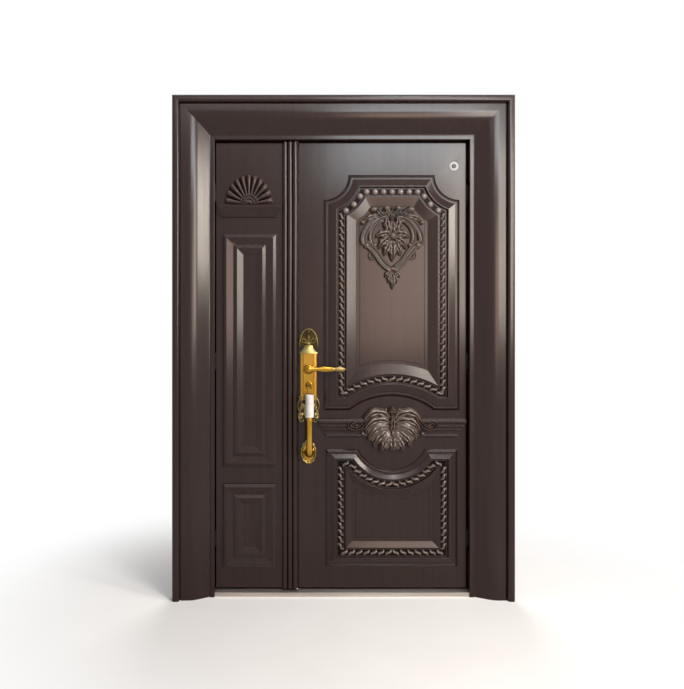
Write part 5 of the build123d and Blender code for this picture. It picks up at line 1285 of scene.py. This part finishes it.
def shell_fan():
    """A fluted shell standing on the shelf, with a scrolled hub."""
    low, high = SHELL_BOX
    half = (high[0] - low[0]) / 2
    tall = high[2] - low[2]
    shell = Shell()
    place = on_front((low[0] + high[0]) / 2, low[2], 0, 0.0)
    around = SHELL_FLUTES * FLUTE_STEPS
    rows = []
    for radius, foot, flute in SHELL_RINGS:
        row = []
        for index in range(around + 1):
            turn = math.pi * index / around
            wave = abs(math.sin(SHELL_FLUTES * turn))
            reach = radius * ((1 - SCALLOP_SHARE) + SCALLOP_SHARE * wave)
            rise = foot + flute * (wave - FLUTE_MIDDLE) * FLUTE_DEPTH
            row.append(place(half * reach * math.cos(turn), tall * reach * math.sin(turn), SHELL_OUT * rise))
        rows.append(row)
    shell.grid(rows)
    shell.cap([place(side * half, 0.0, 0.0) for side in (1, -1)]
              + [row[-1] for row in reversed(rows)] + [row[0] for row in rows])
    for radius, width, rise, steps in SHELL_SCROLLS:
        path = arc_points((0.0, 0.0), SHELL_HUB * radius, 0, 180, steps)
        add_strap(shell, place, path, SHELL_HUB * width, SHELL_OUT * rise, section=ROUND_SECTION)
    return shell


# Handles and viewer

def add_lathe(shell, place, rows, stretch=(1.0, 1.0), lobes=0, depth=0.0):
    """Rings of (radius, height) about the middle of a flat frame, oval or lobed if asked."""
    rings = []
    for radius, height in rows:
        ring = []
        for index in range(LATHE_STEPS * 2):
            turn = math.pi * index / LATHE_STEPS
            reach = radius * (1 - depth * (1 - abs(math.sin(lobes * turn / 2))))
            ring.append(place(
                reach * stretch[0] * math.cos(turn), reach * stretch[1] * math.sin(turn), height))
        rings.append(ring)
    shell.grid(rings, wrap=True)
    return rings


def on_back(x, z, base):
    """Sets a flat frame on the back of the leaf, with height away from it."""
    return lambda u, v, height: (x + u, LEAF_BACK + base + height, z + v)


# half width of the crown above its foot, as (share of its height, half width in shares of its foot's)
CROWN_SHARES = (
    (0.0, 0.95), (0.06, 1.0), (0.12, 0.93), (0.20, 0.98), (0.30, 0.90), (0.40, 0.92), (0.50, 0.82),
    (0.60, 0.82), (0.70, 0.70), (0.78, 0.66), (0.86, 0.50), (0.92, 0.40), (0.97, 0.18), (1.0, 0.0),
)
CROWN_LEAVES = ((90, 0.60, 0.17, 0), (58, 0.52, 0.15, -14), (26, 0.44, 0.14, -24))
# curls beside the sleeve, as (x, z) from the middle of the grip's top
CURLS = (
    ((0.020, 0.018), (0.034, 0.004), (0.045, -0.016), (0.047, -0.038), (0.038, -0.052), (0.028, -0.044)),
    ((0.027, -0.040), (0.040, -0.058), (0.045, -0.076), (0.038, -0.096), (0.027, -0.102), (0.022, -0.092)),
    ((0.022, 0.006), (0.031, -0.012), (0.033, -0.032), (0.026, -0.044)),
)


# bosses of the crown: place and radius as shares of its height
CROWN_BOSSES = ((0.16, 0.13), (0.52, 0.10), (0.84, 0.085))
CROWN_OVERLAP = 0.006
CROWN_MARGIN = 0.004
CROWN_PLATE_SHARE = 0.6
CROWN_RIM_WIDTH_SHARE = 0.20
CROWN_RIM_SHARE = 1.8
CROWN_RIM_STEPS = 4
CROWN_ROOT_SHARE = 0.14
CROWN_LEAF_SHARE = 1.9
CROWN_BOSS_SHARE = 2.2
# scrolls of the crown: middle, first and last radius, width and rise as shares, and their angles
CROWN_CURL_SHARES = (0.50, 0.30, 0.17, 0.05, 0.085, 2.0)
CROWN_CURL_ANGLES = (200, -200)


def add_crown(shell):
    """The palmette over the hood: a scalloped rim round a fan of leaves and two scrolls."""
    foot = CAP_TOP - CROWN_OVERLAP
    tall = PLATE_BOX[1][2] - foot
    half = (PLATE_BOX[1][0] - PLATE_BOX[0][0]) / 2 - CROWN_MARGIN
    place = on_front(HANDLE_X, foot, 0, 0.0)
    side = [(half * wide, tall * share) for share, wide in CROWN_SHARES]
    rim = side + [(-u, v) for u, v in reversed(side[:-1])]
    plate = CROWN_OUT * CROWN_PLATE_SHARE
    shell.tone = DARK_TONE
    shell.grid([[place(u, v, height) for u, v in rim] for height in (0.0, plate)], wrap=True)
    shell.plate(lambda u, v: place(u, v, plate), rim)
    shell.tone = CAST_TONE
    add_strap(shell, place, smooth_path(rim, CROWN_RIM_STEPS), half * CROWN_RIM_WIDTH_SHARE,
              CROWN_OUT * CROWN_RIM_SHARE, section=ROUND_SECTION)
    across, up, start, end, curl_width, curl_rise = CROWN_CURL_SHARES
    curl = spiral((half * across, tall * up), tall * start, tall * end, *CROWN_CURL_ANGLES)
    root = (0.0, tall * CROWN_ROOT_SHARE)
    leaf_out = CROWN_OUT * CROWN_LEAF_SHARE
    for mirror in (place, flipped(place)):
        for angle, length, width, bend in CROWN_LEAVES:
            add_leaf(shell, mirror, root, angle, tall * length, tall * width, leaf_out, bend)
        add_strap(shell, mirror, curl, tall * curl_width, CROWN_OUT * curl_rise, section=ROUND_SECTION)
    for share, radius in CROWN_BOSSES:
        boss = shifted(place, 0.0, tall * share)
        add_dome(shell, boss, tall * radius, tall * radius, CROWN_OUT * CROWN_BOSS_SHARE)


HOOD_STEPS = 8
HOOD_WIDTH_POWER = 1.7
HOOD_OUT_POWER = 1.4
HOOD_PROUD = 0.002
EAVE_DROP = 0.0045
# section of the hood, as shares of its half width and of how far it stands out
HOOD_SECTION = ((-1, 0), (-1, 0.72), (-0.62, 1), (0.62, 1), (1, 0.72), (1, 0))


def add_hood(shell):
    """The roof over the plate, flaring from the crown's foot to its eave."""
    rows = []
    for index in range(HOOD_STEPS + 1):
        share = index / HOOD_STEPS
        half = CAP_TOP_HALF + (CAP_HALF - CAP_TOP_HALF) * (1 - share) ** HOOD_WIDTH_POWER
        out = PLATE_OUT + HOOD_PROUD + (CAP_OUT - PLATE_OUT) * (1 - share) ** HOOD_OUT_POWER
        z = PLATE_TOP + (CAP_TOP - PLATE_TOP) * share
        rows.append([(HANDLE_X + half * u, LEAF_FRONT - out * h, z) for u, h in HOOD_SECTION])
    eave = [(x, y, PLATE_TOP - EAVE_DROP) for x, y, z in rows[0]]
    shell.tone = CAST_TONE
    shell.bar([eave] + rows)


# left half of the plate's section: distance from the middle and height
PLATE_INNER = PLATE_HALF - PLATE_STRIP
PLATE_BEVEL = 0.001
PLATE_RAMP = 0.0022
PLATE_SECTION = (
    (-PLATE_HALF, 0.0), (-PLATE_HALF, PLATE_EDGE), (-PLATE_HALF + PLATE_BEVEL, PLATE_EDGE + PLATE_BEVEL),
    (-PLATE_INNER - PLATE_BEVEL, PLATE_OUT - PLATE_RAMP), (-PLATE_INNER, PLATE_OUT - PLATE_BEVEL),
    (-PLATE_INNER + PLATE_BEVEL, PLATE_OUT),
)
# rings of (radius, height): the lever's rose, and the key escutcheon with its radius as a share
ROSE_RINGS = (
    (0.0245, 0.0080), (0.0245, 0.0118), (0.0235, 0.0135), (0.0215, 0.0145), (0.0195, 0.0140),
    (0.0185, 0.0128), (0.0175, 0.0135), (0.0165, 0.0160), (0.0150, 0.0169), (0.0125, 0.0169),
    (0.0118, 0.0160), (0.0118, 0.0080),
)
ESCUTCHEON_RINGS = (
    (1.0, 0.0080), (1.0, 0.0105), (0.93, 0.0122), (0.84, 0.0126), (0.76, 0.0118), (0.70, 0.0104),
    (0.66, 0.0095), (0.66, 0.0080),
)
KEY_FACE_SHARES = (0.7, 0.4)
KEY_FACE_PROUD = 0.0004
# bosses under the key: drop and radius; then their height and rise as shares of the radius
KEY_BOSSES = ((0.026, 0.0062), (0.033, 0.0044))
KEY_BOSS_TALL_SHARE = 1.2
KEY_BOSS_RISE_SHARE = 0.7
CURL_WIDTH = 0.0095
CURL_HEIGHT = 0.0105
CURL_TAPER = (1.0, 0.7)
# leaves beside the grip's top: root, angle, length, width, height and bend
PLATE_LEAVES = (
    ((0.034, 0.004), 28, 0.016, 0.011, 0.009, -30),
    ((0.030, -0.060), -70, 0.046, 0.020, 0.009, -24),
    ((0.026, -0.020), -80, 0.040, 0.018, 0.008, 30),
)
# bosses beside the grip's top: place, radius and height
PLATE_BOSSES = ((0.030, -0.046, 0.0055, 0.012), (0.024, -0.094, 0.005, 0.0115))
TAIL_DROP = 0.020
TAIL_WIDTH = 0.044
TAIL_HEIGHT = 0.008


def plate_shell():
    """The cast front plate with its crown, hood, rose, key escutcheon and curled leaves."""
    shell = Shell()
    add_crown(shell)
    add_hood(shell)
    shell.tone = BRIGHT_TONE
    section = [*PLATE_SECTION, *[(-u, out) for u, out in reversed(PLATE_SECTION)]]
    rows = [[(HANDLE_X + u, LEAF_FRONT - out, z) for u, out in section] for z in (PLATE_BOTTOM, PLATE_TOP)]
    shell.bar(rows)
    add_lathe(shell, on_front(HANDLE_X, LEVER_Z, 0, 0.0), ROSE_RINGS)
    key = on_front(HANDLE_X, CYLINDER_Z, 0, 0.0)
    add_lathe(shell, key, ESCUTCHEON_RINGS, (ESCUTCHEON_HALF, ESCUTCHEON_TALL))
    shell.tone = DARK_TONE
    face = PLATE_OUT + KEY_FACE_PROUD
    shell.grid([[key(u, v, face) for u, v in circle((0, 0), ESCUTCHEON_HALF * share)]
                for share in KEY_FACE_SHARES], wrap=True)
    shell.tone = BRIGHT_TONE
    for drop, size in KEY_BOSSES:
        boss = on_front(HANDLE_X, CYLINDER_Z - drop, 0, PLATE_OUT)
        add_dome(shell, boss, size, size * KEY_BOSS_TALL_SHARE, size * KEY_BOSS_RISE_SHARE)
    shell.tone = CAST_TONE
    place = on_front(HANDLE_X, GRIP_TOP, 0, 0.0)
    for mirror in (place, flipped(place)):
        for curl in CURLS:
            add_strap(shell, mirror, smooth_path(curl), CURL_WIDTH, CURL_HEIGHT, CURL_TAPER, ROUND_SECTION)
        for leaf in PLATE_LEAVES:
            add_leaf(shell, mirror, *leaf)
        for across, up, radius, height in PLATE_BOSSES:
            add_dome(shell, shifted(mirror, across, up), radius, radius, height)
    tail = GRIP_TOP - TAIL_DROP - PLATE_BOX[0][2]
    add_leaf(shell, place, (0.0, -TAIL_DROP), -90, tail, TAIL_WIDTH, TAIL_HEIGHT)
    return shell


def add_tube(shell, path, radii):
    """A round bar along points of the (Y, Z) plane under the handle, closed at both ends."""
    rows = []
    last = len(path) - 1
    for index, (y, z) in enumerate(path):
        before, after = path[max(0, index - 1)], path[min(last, index + 1)]
        along = Vector((after[0] - before[0], after[1] - before[1])).normalized()
        rows.append([
            (HANDLE_X + radii[index] * math.cos(turn), y - along.y * radii[index] * math.sin(turn),
             z + along.x * radii[index] * math.sin(turn))
            for turn in (2 * math.pi * step / LATHE_STEPS for step in range(LATHE_STEPS))])
    shell.bar(rows)


# radius of the grip up its height, as (Z, radius)
GRIP_RADII = (
    (0.610, 0.0150), (0.630, 0.0168), (0.646, 0.0162), (0.664, 0.0146), (0.720, 0.0132), (0.770, 0.0142),
    (0.780, 0.0150), (0.786, 0.0150), (0.792, 0.0140), (0.900, 0.0140),
)


def stepped(table, place):
    """The value of a table of (place, value) rows at a place, by straight lines between its rows."""
    for (low, first), (high, second) in zip(table, table[1:]):
        if place <= high:
            return first + (second - first) * max(0.0, (place - low) / (high - low))
    return table[-1][1]


GRIP_BEND_STEPS = 10
GRIP_STEPS = 30
FOOT_CLEARANCE = 0.0004


def grip_shell():
    """The turned pull: a seat at its top, two bends and a swelling bar between them."""
    shell = Shell()
    low, high = FOOT_Z + GRIP_BEND, GRIP_TOP - GRIP_BEND
    bend_y = GRIP_AXIS + GRIP_BEND
    path = [(GRIP_TOP_SEAT, GRIP_TOP)]
    path += arc_points((bend_y, high), GRIP_BEND, 90, 180, GRIP_BEND_STEPS)
    path += [(GRIP_AXIS, high + (low - high) * step / GRIP_STEPS) for step in range(1, GRIP_STEPS)]
    path += arc_points((bend_y, low), GRIP_BEND, 180, 270, GRIP_BEND_STEPS)
    path.append((FOOT_BOX[0][1] - FOOT_CLEARANCE, FOOT_Z))
    add_tube(shell, path, [stepped(GRIP_RADII, z) for y, z in path])
    return shell


SLEEVE_STEPS = 26
# rim of the sleeve from its inside, as shares: radius, and distance from its end
SLEEVE_RIM = ((0.82, 0.0), (0.94, 0.0), (0.985, 0.012))
SLEEVE_END_SHARE = 0.03
SLEEVE_REACH_SHARE = 0.975
CREASE_SHARE = 0.018
CREASE_TURNS = (9.0, 1.7)
WRINKLE_SHARE = 0.010
WRINKLE_TURNS = 5
WRINKLE_TWIST = 40


def sleeve_shell():
    """The soft sleeve on the top of the grip, slightly wrinkled, with rolled rims."""
    low, high = SLEEVE_BOX
    radius = (high[0] - low[0]) / 2
    axis = ((low[0] + high[0]) / 2, (low[1] + high[1]) / 2)
    shell = Shell()
    rows = []
    profile = [*SLEEVE_RIM]
    for step in range(SLEEVE_STEPS + 1):
        crease = CREASE_SHARE * math.sin(CREASE_TURNS[0] * step) * math.sin(CREASE_TURNS[1] * step)
        share = SLEEVE_END_SHARE + (1 - 2 * SLEEVE_END_SHARE) * step / SLEEVE_STEPS
        profile.append((SLEEVE_REACH_SHARE + crease, share))
    profile += [(reach, 1 - share) for reach, share in reversed(SLEEVE_RIM)]
    for reach, share in profile:
        z = low[2] + (high[2] - low[2]) * share
        row = []
        for index in range(LATHE_STEPS):
            turn = 2 * math.pi * index / LATHE_STEPS
            wave = math.sin(WRINKLE_TURNS * turn + WRINKLE_TWIST * share)
            wrinkle = 1 + WRINKLE_SHARE * wave * math.sin(math.pi * share)
            row.append((axis[0] + radius * reach * wrinkle * math.cos(turn),
                        axis[1] + radius * reach * wrinkle * math.sin(turn), z))
        rows.append(row)
    shell.grid(rows + [rows[0]], wrap=True)
    return shell


# rings of the foot: radius as a share and height; its waist: radius and height
FOOT_RINGS = (
    (1.0, 0.0), (1.0, 0.0045), (0.96, 0.0075), (0.89, 0.0098), (0.82, 0.0098), (0.76, 0.0078),
    (0.71, 0.0058),
)
FOOT_LOBE_SHARE = 0.09
FOOT_WAIST = (0.0195, 0.0095)
FOOT_NECK_RADIUS = 0.017


def foot_shell():
    """The lobed rose under the grip's lower end."""
    low, high = FOOT_BOX
    wide, tall = (high[0] - low[0]) / 2, (high[2] - low[2]) / 2
    middle = (low[2] + high[2]) / 2
    shell = Shell()
    place = on_front(HANDLE_X, middle, 0, 0.0)
    shell.tone = CAST_TONE
    rings = add_lathe(shell, place, FOOT_RINGS, (wide, tall), FOOT_LOBES, FOOT_LOBE_SHARE)
    shell.cap(rings[0])
    shell.tone = BRIGHT_TONE
    neck = shifted(place, 0.0, FOOT_Z - middle)
    rings = [rings[-1]]
    for radius, height in (FOOT_WAIST, (FOOT_NECK_RADIUS, LEAF_FRONT - low[1])):
        rings.append([neck(u, v, height) for u, v in circle((0, 0), radius, LATHE_STEPS * 2)])
    shell.grid(rings, wrap=True)
    shell.cap(rings[-1])
    return shell


# sections of a lever's arm: share of its length, half its height and half its depth
LEVER_SECTIONS = (
    (0.0, 0.0120, 0.0056), (0.08, 0.0100, 0.0056), (0.14, 0.0082, 0.0056), (0.20, 0.0075, 0.0055),
    (0.27, 0.0088, 0.0058), (0.35, 0.0110, 0.0059), (0.42, 0.0124, 0.0060), (0.50, 0.0118, 0.0059),
    (0.57, 0.0104, 0.0058), (0.620, 0.0093, 0.0054), (0.626, 0.0108, 0.0060), (0.650, 0.0110, 0.0060),
    (0.657, 0.0094, 0.0055), (0.70, 0.0082, 0.0053), (0.76, 0.0098, 0.0056), (0.82, 0.0112, 0.0058),
    (0.88, 0.0108, 0.0057), (0.93, 0.0092, 0.0053), (0.97, 0.0066, 0.0046), (1.0, 0.0022, 0.0020),
)
TIP_SHARE = 0.655
TIP_FLUTES = 4
TIP_FLUTE_SHARE = 0.10
LEVER_CLEARANCE = 0.0005
INSIDE_FOOT = 0.0085
# rings of a lever's hub as (radius, height), from its foot, from the arm's middle and from its end
HUB_FOOT = ((0.0105, 0.0), (0.0112, 0.0015), (0.0098, 0.004), (0.0088, 0.010))
HUB_EYE = ((0.0092, -LEVER_ARM), (0.0122, -0.003), (0.0128, 0.0), (0.0120, 0.003), (0.0094, 0.0042),
           (0.0088, 0.0036), (0.0080, 0.0044))
HUB_END = ((0.0050, -0.0002), (0.0010, 0.0))


def lever_shell(which):
    """A lever: a turned hub on its rose and a swelling arm with a ring and a fluted tip."""
    low, high = LEVER_BOXES[which]
    hub = on_front(HANDLE_X, LEVER_Z, 0, 0.0) if which == "outside" else on_back(HANDLE_X, LEVER_Z, 0.0)
    reach = LEAF_FRONT - low[1] if which == "outside" else high[1] - LEAF_BACK
    foot = LEAF_FRONT - PLATE_BOX[0][1] + LEVER_CLEARANCE if which == "outside" else INSIDE_FOOT
    arm = reach - LEVER_ARM
    shell = Shell()
    starts = ((foot, HUB_FOOT), (arm, HUB_EYE), (reach, HUB_END))
    profile = [(radius, start + rise) for start, part in starts for radius, rise in part]
    rings = add_lathe(shell, hub, profile)
    shell.cap(rings[0])
    shell.cap(rings[-1])
    length = high[0] - HANDLE_X
    rows = []
    for share, tall, deep in LEVER_SECTIONS:
        row = []
        for index in range(LATHE_STEPS):
            turn = 2 * math.pi * index / LATHE_STEPS
            fluted = 1.0
            if share > TIP_SHARE:
                fluted -= TIP_FLUTE_SHARE * (1 - abs(math.sin(TIP_FLUTES * turn)))
            up, out = tall * fluted * math.cos(turn), deep * fluted * math.sin(turn)
            row.append(hub(length * share, up, arm + out))
        rows.append(row)
    tip = next(i for i, row in enumerate(LEVER_SECTIONS) if row[0] > TIP_SHARE)
    shell.grid(rows[:tip + 1], wrap=True)
    shell.cap(rows[0])
    shell.tone = CAST_TONE
    shell.grid(rows[tip:], wrap=True)
    shell.cap(rows[-1])
    return shell


VIEWER_BORE = 0.0090
VIEWER_TUBE = 0.0118
# rings of the viewer's flange, as shares of its radius and of how far it stands out
VIEWER_RINGS = (
    (1.0, 0.0), (1.0, 0.30), (0.95, 0.55), (0.84, 0.75), (0.76, 0.70), (0.71, 0.86), (0.62, 1.0),
    (0.52, 1.0), (0.46, 0.72),
)
VIEWER_SEAT_SHARE = 0.4


def viewer_shell():
    """The door viewer's barrel with its ringed flange."""
    low, high = VIEWER_BOX
    radius = (high[0] - low[0]) / 2
    out = LEAF_FRONT - low[1]
    back = LEAF_FRONT - high[1]
    rings = [(VIEWER_BORE, back), (VIEWER_TUBE, back), (VIEWER_TUBE, 0.0)]
    rings += [(radius * wide, out * rise) for wide, rise in VIEWER_RINGS]
    rings += [(VIEWER_BORE, out * VIEWER_SEAT_SHARE), (VIEWER_BORE, back)]
    shell = Shell()
    add_lathe(shell, on_front(VIEWER_X, VIEWER_Z, 0, 0.0), rings)
    return shell


def add_bead(shell, place, outline, width, height):
    """A round bead along a closed flat outline."""
    count = len(outline)
    rows = []
    for index in range(count + 1):
        u, v = outline[index % count]
        along = (Vector(outline[(index + 1) % count]) - Vector(outline[index - 1])).normalized()
        rows.append([place(u - along.y * side * width / 2, v + along.x * side * width / 2, rise * height)
                     for side, rise in ROUND_SECTION])
    shell.grid(rows, wrap=True)


def inside_trim_shell():
    """Bead and roses on the inside handle plate."""
    low, high = INNER_PLATE_BOX
    base = high[1] - LEAF_BACK
    corner = TRIM_INSET + TRIM_ROUND
    left, right, foot, top = low[0] + corner, high[0] - corner, low[2] + corner, high[2] - corner
    outline = []
    for centre, start in (((right, top), 0), ((left, top), 90), ((left, foot), 180), ((right, foot), 270)):
        outline += arc_points(centre, TRIM_ROUND, start, start + 90, ARC_STEPS)
    shell = Shell()
    add_bead(shell, on_back(0.0, 0.0, base), outline, TRIM_WIDTH, TRIM_HEIGHT)
    for z, stretch, rows in INSIDE_ROSES:
        add_lathe(shell, on_back(HANDLE_X, z, base), rows, stretch)
    return shell


# Stage, light and camera

WHITE_RAYS = ("Is Camera Ray", "Is Glossy Ray", "Is Transmission Ray")


def either(tree, outputs):
    """1 where any of some 0 or 1 values is."""
    seen = outputs[0]
    for output in outputs[1:]:
        node = tree.nodes.new("ShaderNodeMath")
        node.operation = "MAXIMUM"
        tree.links.new(seen, node.inputs[0])
        tree.links.new(output, node.inputs[1])
        seen = node.outputs[0]
    return seen


def world_light(ambient):
    """Pale surroundings: white to the camera, metal and glass, a plain soft level for the rest."""
    world = bpy.data.worlds.new("studio")
    bpy.context.scene.world = world
    world.use_nodes = True
    tree = world.node_tree
    background = tree.nodes["Background"]
    background.inputs["Color"].default_value = (1.0, 1.0, 1.0, 1.0)
    path = tree.nodes.new("ShaderNodeLightPath")
    seen = either(tree, [path.outputs[name] for name in WHITE_RAYS])
    tree.links.new(spread(tree, seen, ambient, 1.0), background.inputs["Strength"])


def floor_material():
    """Pale matt floor that turns to the white of the background away from the door."""
    material = plain_material("floor", (0.90, 0.90, 0.90), (0.93, 0.93, 0.93), (0.8, 0.9), 3.0)
    tree = material.node_tree
    place = tree.nodes.new("ShaderNodeTexCoord")
    distance = tree.nodes.new("ShaderNodeVectorMath")
    distance.operation = "LENGTH"
    tree.links.new(place.outputs["Object"], distance.inputs[0])
    far = tree.nodes.new("ShaderNodeMapRange")
    far.interpolation_type = "SMOOTHSTEP"
    far.inputs["From Min"].default_value = FLOOR_FADE[0]
    far.inputs["From Max"].default_value = FLOOR_FADE[1]
    tree.links.new(distance.outputs["Value"], far.inputs["Value"])
    path = tree.nodes.new("ShaderNodeLightPath")
    seen = tree.nodes.new("ShaderNodeMath")
    seen.operation = "MULTIPLY"
    tree.links.new(far.outputs["Result"], seen.inputs[0])
    tree.links.new(either(tree, [path.outputs[name] for name in WHITE_RAYS]), seen.inputs[1])
    white = tree.nodes.new("ShaderNodeEmission")
    both = tree.nodes.new("ShaderNodeMixShader")
    tree.links.new(seen.outputs[0], both.inputs[0])
    tree.links.new(tree.nodes["Principled BSDF"].outputs["BSDF"], both.inputs[1])
    tree.links.new(white.outputs["Emission"], both.inputs[2])
    tree.links.new(both.outputs["Shader"], tree.nodes["Material Output"].inputs["Surface"])
    return material


def floor(size):
    """The floor, as far as its half size each way."""
    mesh = bpy.data.meshes.new("floor")
    corners = [(u, v, 0) for u, v in oblong(-size, size, -size, size)]
    mesh.from_pydata(corners, [], [(0, 1, 2, 3)])
    made = bpy.data.objects.new("floor", mesh)
    bpy.context.scene.collection.objects.link(made)
    mesh.materials.append(floor_material())


def soft_box(name, place, target, size, power, colour):
    """A rectangular soft light that faces its target."""
    lamp = bpy.data.lights.new(name, "AREA")
    lamp.shape = "RECTANGLE"
    lamp.size, lamp.size_y = size
    lamp.energy = power
    lamp.color = colour
    made = bpy.data.objects.new(name, lamp)
    bpy.context.scene.collection.objects.link(made)
    made.location = place
    made.rotation_euler = (Vector(target) - Vector(place)).to_track_quat("-Z", "Y").to_euler()


def camera():
    """The camera at the photograph's viewpoint, with its lens shift."""
    data = bpy.data.cameras.new("camera")
    data.sensor_fit = "HORIZONTAL"
    data.sensor_width = SENSOR_WIDTH
    data.lens = SENSOR_WIDTH * FOCAL_PIXELS / IMAGE_WIDTH
    data.shift_x = 0.5 - PRINCIPAL_U / IMAGE_WIDTH
    data.shift_y = (PRINCIPAL_V - IMAGE_HEIGHT / 2) / IMAGE_WIDTH
    made = bpy.data.objects.new("camera", data)
    bpy.context.scene.collection.objects.link(made)
    made.location = CAMERA_PLACE
    made.rotation_euler = (math.radians(90), 0, 0)
    bpy.context.scene.camera = made


# soft boxes: name, place, target, size, power and colour
LAMPS = (
    ("right_panel", (4.40, -3.25, 2.75), (-0.66, 0.0, 1.7), (0.9, 1.6), 150.0, (1.0, 0.91, 0.80)),
    ("window", (0.95, -3.0, 2.83), (0.3, 0.0, 1.95), (1.3, 0.54), 31.0, (0.88, 0.95, 1.0)),
    ("head_strip", (0.4, -3.0, 3.22), (0.2, 0.0, 2.1), (3.0, 0.16), 11.0, (0.98, 0.93, 0.94)),
    ("right_column", (1.72, -3.0, 2.0), (0.6, 0.0, 1.6), (0.7, 1.6), 58.0, (1.0, 0.90, 0.80)),
    ("warm_wall", (0.85, -3.0, 1.55), (0.22, 0.0, 1.3), (0.7, 1.1), 17.0, (1.0, 0.70, 0.57)),
    ("overhead", (0.2, -0.75, 4.3), (0.2, -0.2, 1.0), (5.0, 0.3), 40.0, (0.96, 0.98, 1.0)),
    ("back_box", (0.4, 3.6, 2.3), (0.0, 0.1, 1.1), (2.2, 1.6), 95.0, (1.0, 0.96, 0.92)),
    ("spark", (0.9, -2.6, 3.55), (0.2, 0.0, 1.2), (0.35, 0.35), 20.0, (1.0, 0.97, 0.93)),
)


# All the pieces

def finish_cad_nodes():
    """Every node that stays as it is gets the finish of its material slot."""
    for row in frame["record"]["subparts"]:
        mesh = frame["nodes"][row["node"]].data
        mesh.materials.clear()
        mesh.materials.append(NODE_MATERIALS.get(row["node"], SLOT_MATERIALS[row["material_slot"]]))


def build_frame():
    """The three folded sheets of the casing."""
    for name, side in (("left_jamb", -1), ("right_jamb", 1)):
        piece(f"{name}_sheet", jamb_shell(side), "frame", LACQUER, [name],
              sharp=24, sheet=FRAME_SHEET, closed=False)
    piece("head_casing_sheet", head_shell(), "frame", LACQUER, ["head_casing"],
          sharp=24, sheet=FRAME_SHEET, closed=False)


def build_leaves():
    """Skins, mouldings and carvings of both leaves."""
    piece("main_pressed_skin", main_skin(), "main_leaf", LACQUER, ["main_outer_skin"],
          sharp=13, sheet=LEAF_SHEET)
    rail = Shell()
    add_cornice(rail, RAIL)
    piece("main_rail", rail, "main_leaf", LACQUER, sharp=24)
    piece("side_pressed_skin", side_skin(), "side_leaf", LACQUER, ["side_outer_skin"],
          sharp=13, sheet=LEAF_SHEET)
    shelf = Shell()
    add_cornice(shelf, SHELF)
    piece("side_shelf", shelf, "side_leaf", LACQUER, sharp=24)
    piece("reeded_strip", strip_shell(), "side_leaf", LACQUER, ["meeting_strip"], sharp=40)
    piece("upper_rope_row", upper_rope(), "main_leaf", ROPE_TONES,
          ["upper_rope_moulding"], sharp=50, flat=False)
    piece("lower_rope_row", lower_rope(), "main_leaf", ROPE_TONES[:2],
          ["lower_rope_moulding"], sharp=50, flat=False)
    piece("carved_cartouche", cartouche_shell(), "main_leaf", CARVED_LACQUER, ["cartouche"],
          sharp=60, flat=False)
    piece("carved_rosette", rosette_shell(), "main_leaf", CARVED_LACQUER, ["rail_rosette"],
          sharp=60, flat=False)
    piece("meeting_foot_seal", foot_seal_shell(), "main_leaf", RUBBER, [])
    piece("fluted_shell", shell_fan(), "side_leaf", SHELL_LACQUER, ["shell_casting"],
          sharp=60, flat=False)


def build_handles():
    """The handle set and the viewer."""
    piece("cast_plate", plate_shell(), "main_leaf", BRASS_TONES, ["outer_plate"],
          sharp=40, flat=False)
    piece("inside_plate_trim", inside_trim_shell(), "main_leaf", BRASS, [], sharp=50, flat=False)
    piece("turned_grip", grip_shell(), "main_leaf", BRASS, ["pull_grip"], sharp=60, flat=False)
    piece("soft_sleeve", sleeve_shell(), "main_leaf", SLEEVE_PLASTIC, ["grip_sleeve"],
          sharp=60, flat=False)
    piece("lobed_foot", foot_shell(), "main_leaf", BRASS_TONES, ["grip_foot"], sharp=50, flat=False)
    for which in ("outside", "inside"):
        piece(f"{which}_turned_lever", lever_shell(which), "lever_set", BRASS_TONES,
              [f"{which}_lever"], sharp=40, flat=False)
    piece("ringed_viewer", viewer_shell(), "main_leaf", CHROME, ["viewer_barrel"],
          sharp=40, flat=False)


finish_cad_nodes()
build_frame()
build_leaves()
build_handles()
world_light(AMBIENT)
floor(FLOOR_HALF)
for lamp in LAMPS:
    soft_box(*lamp)
camera()
bpy.context.scene.view_settings.view_transform = "Standard"
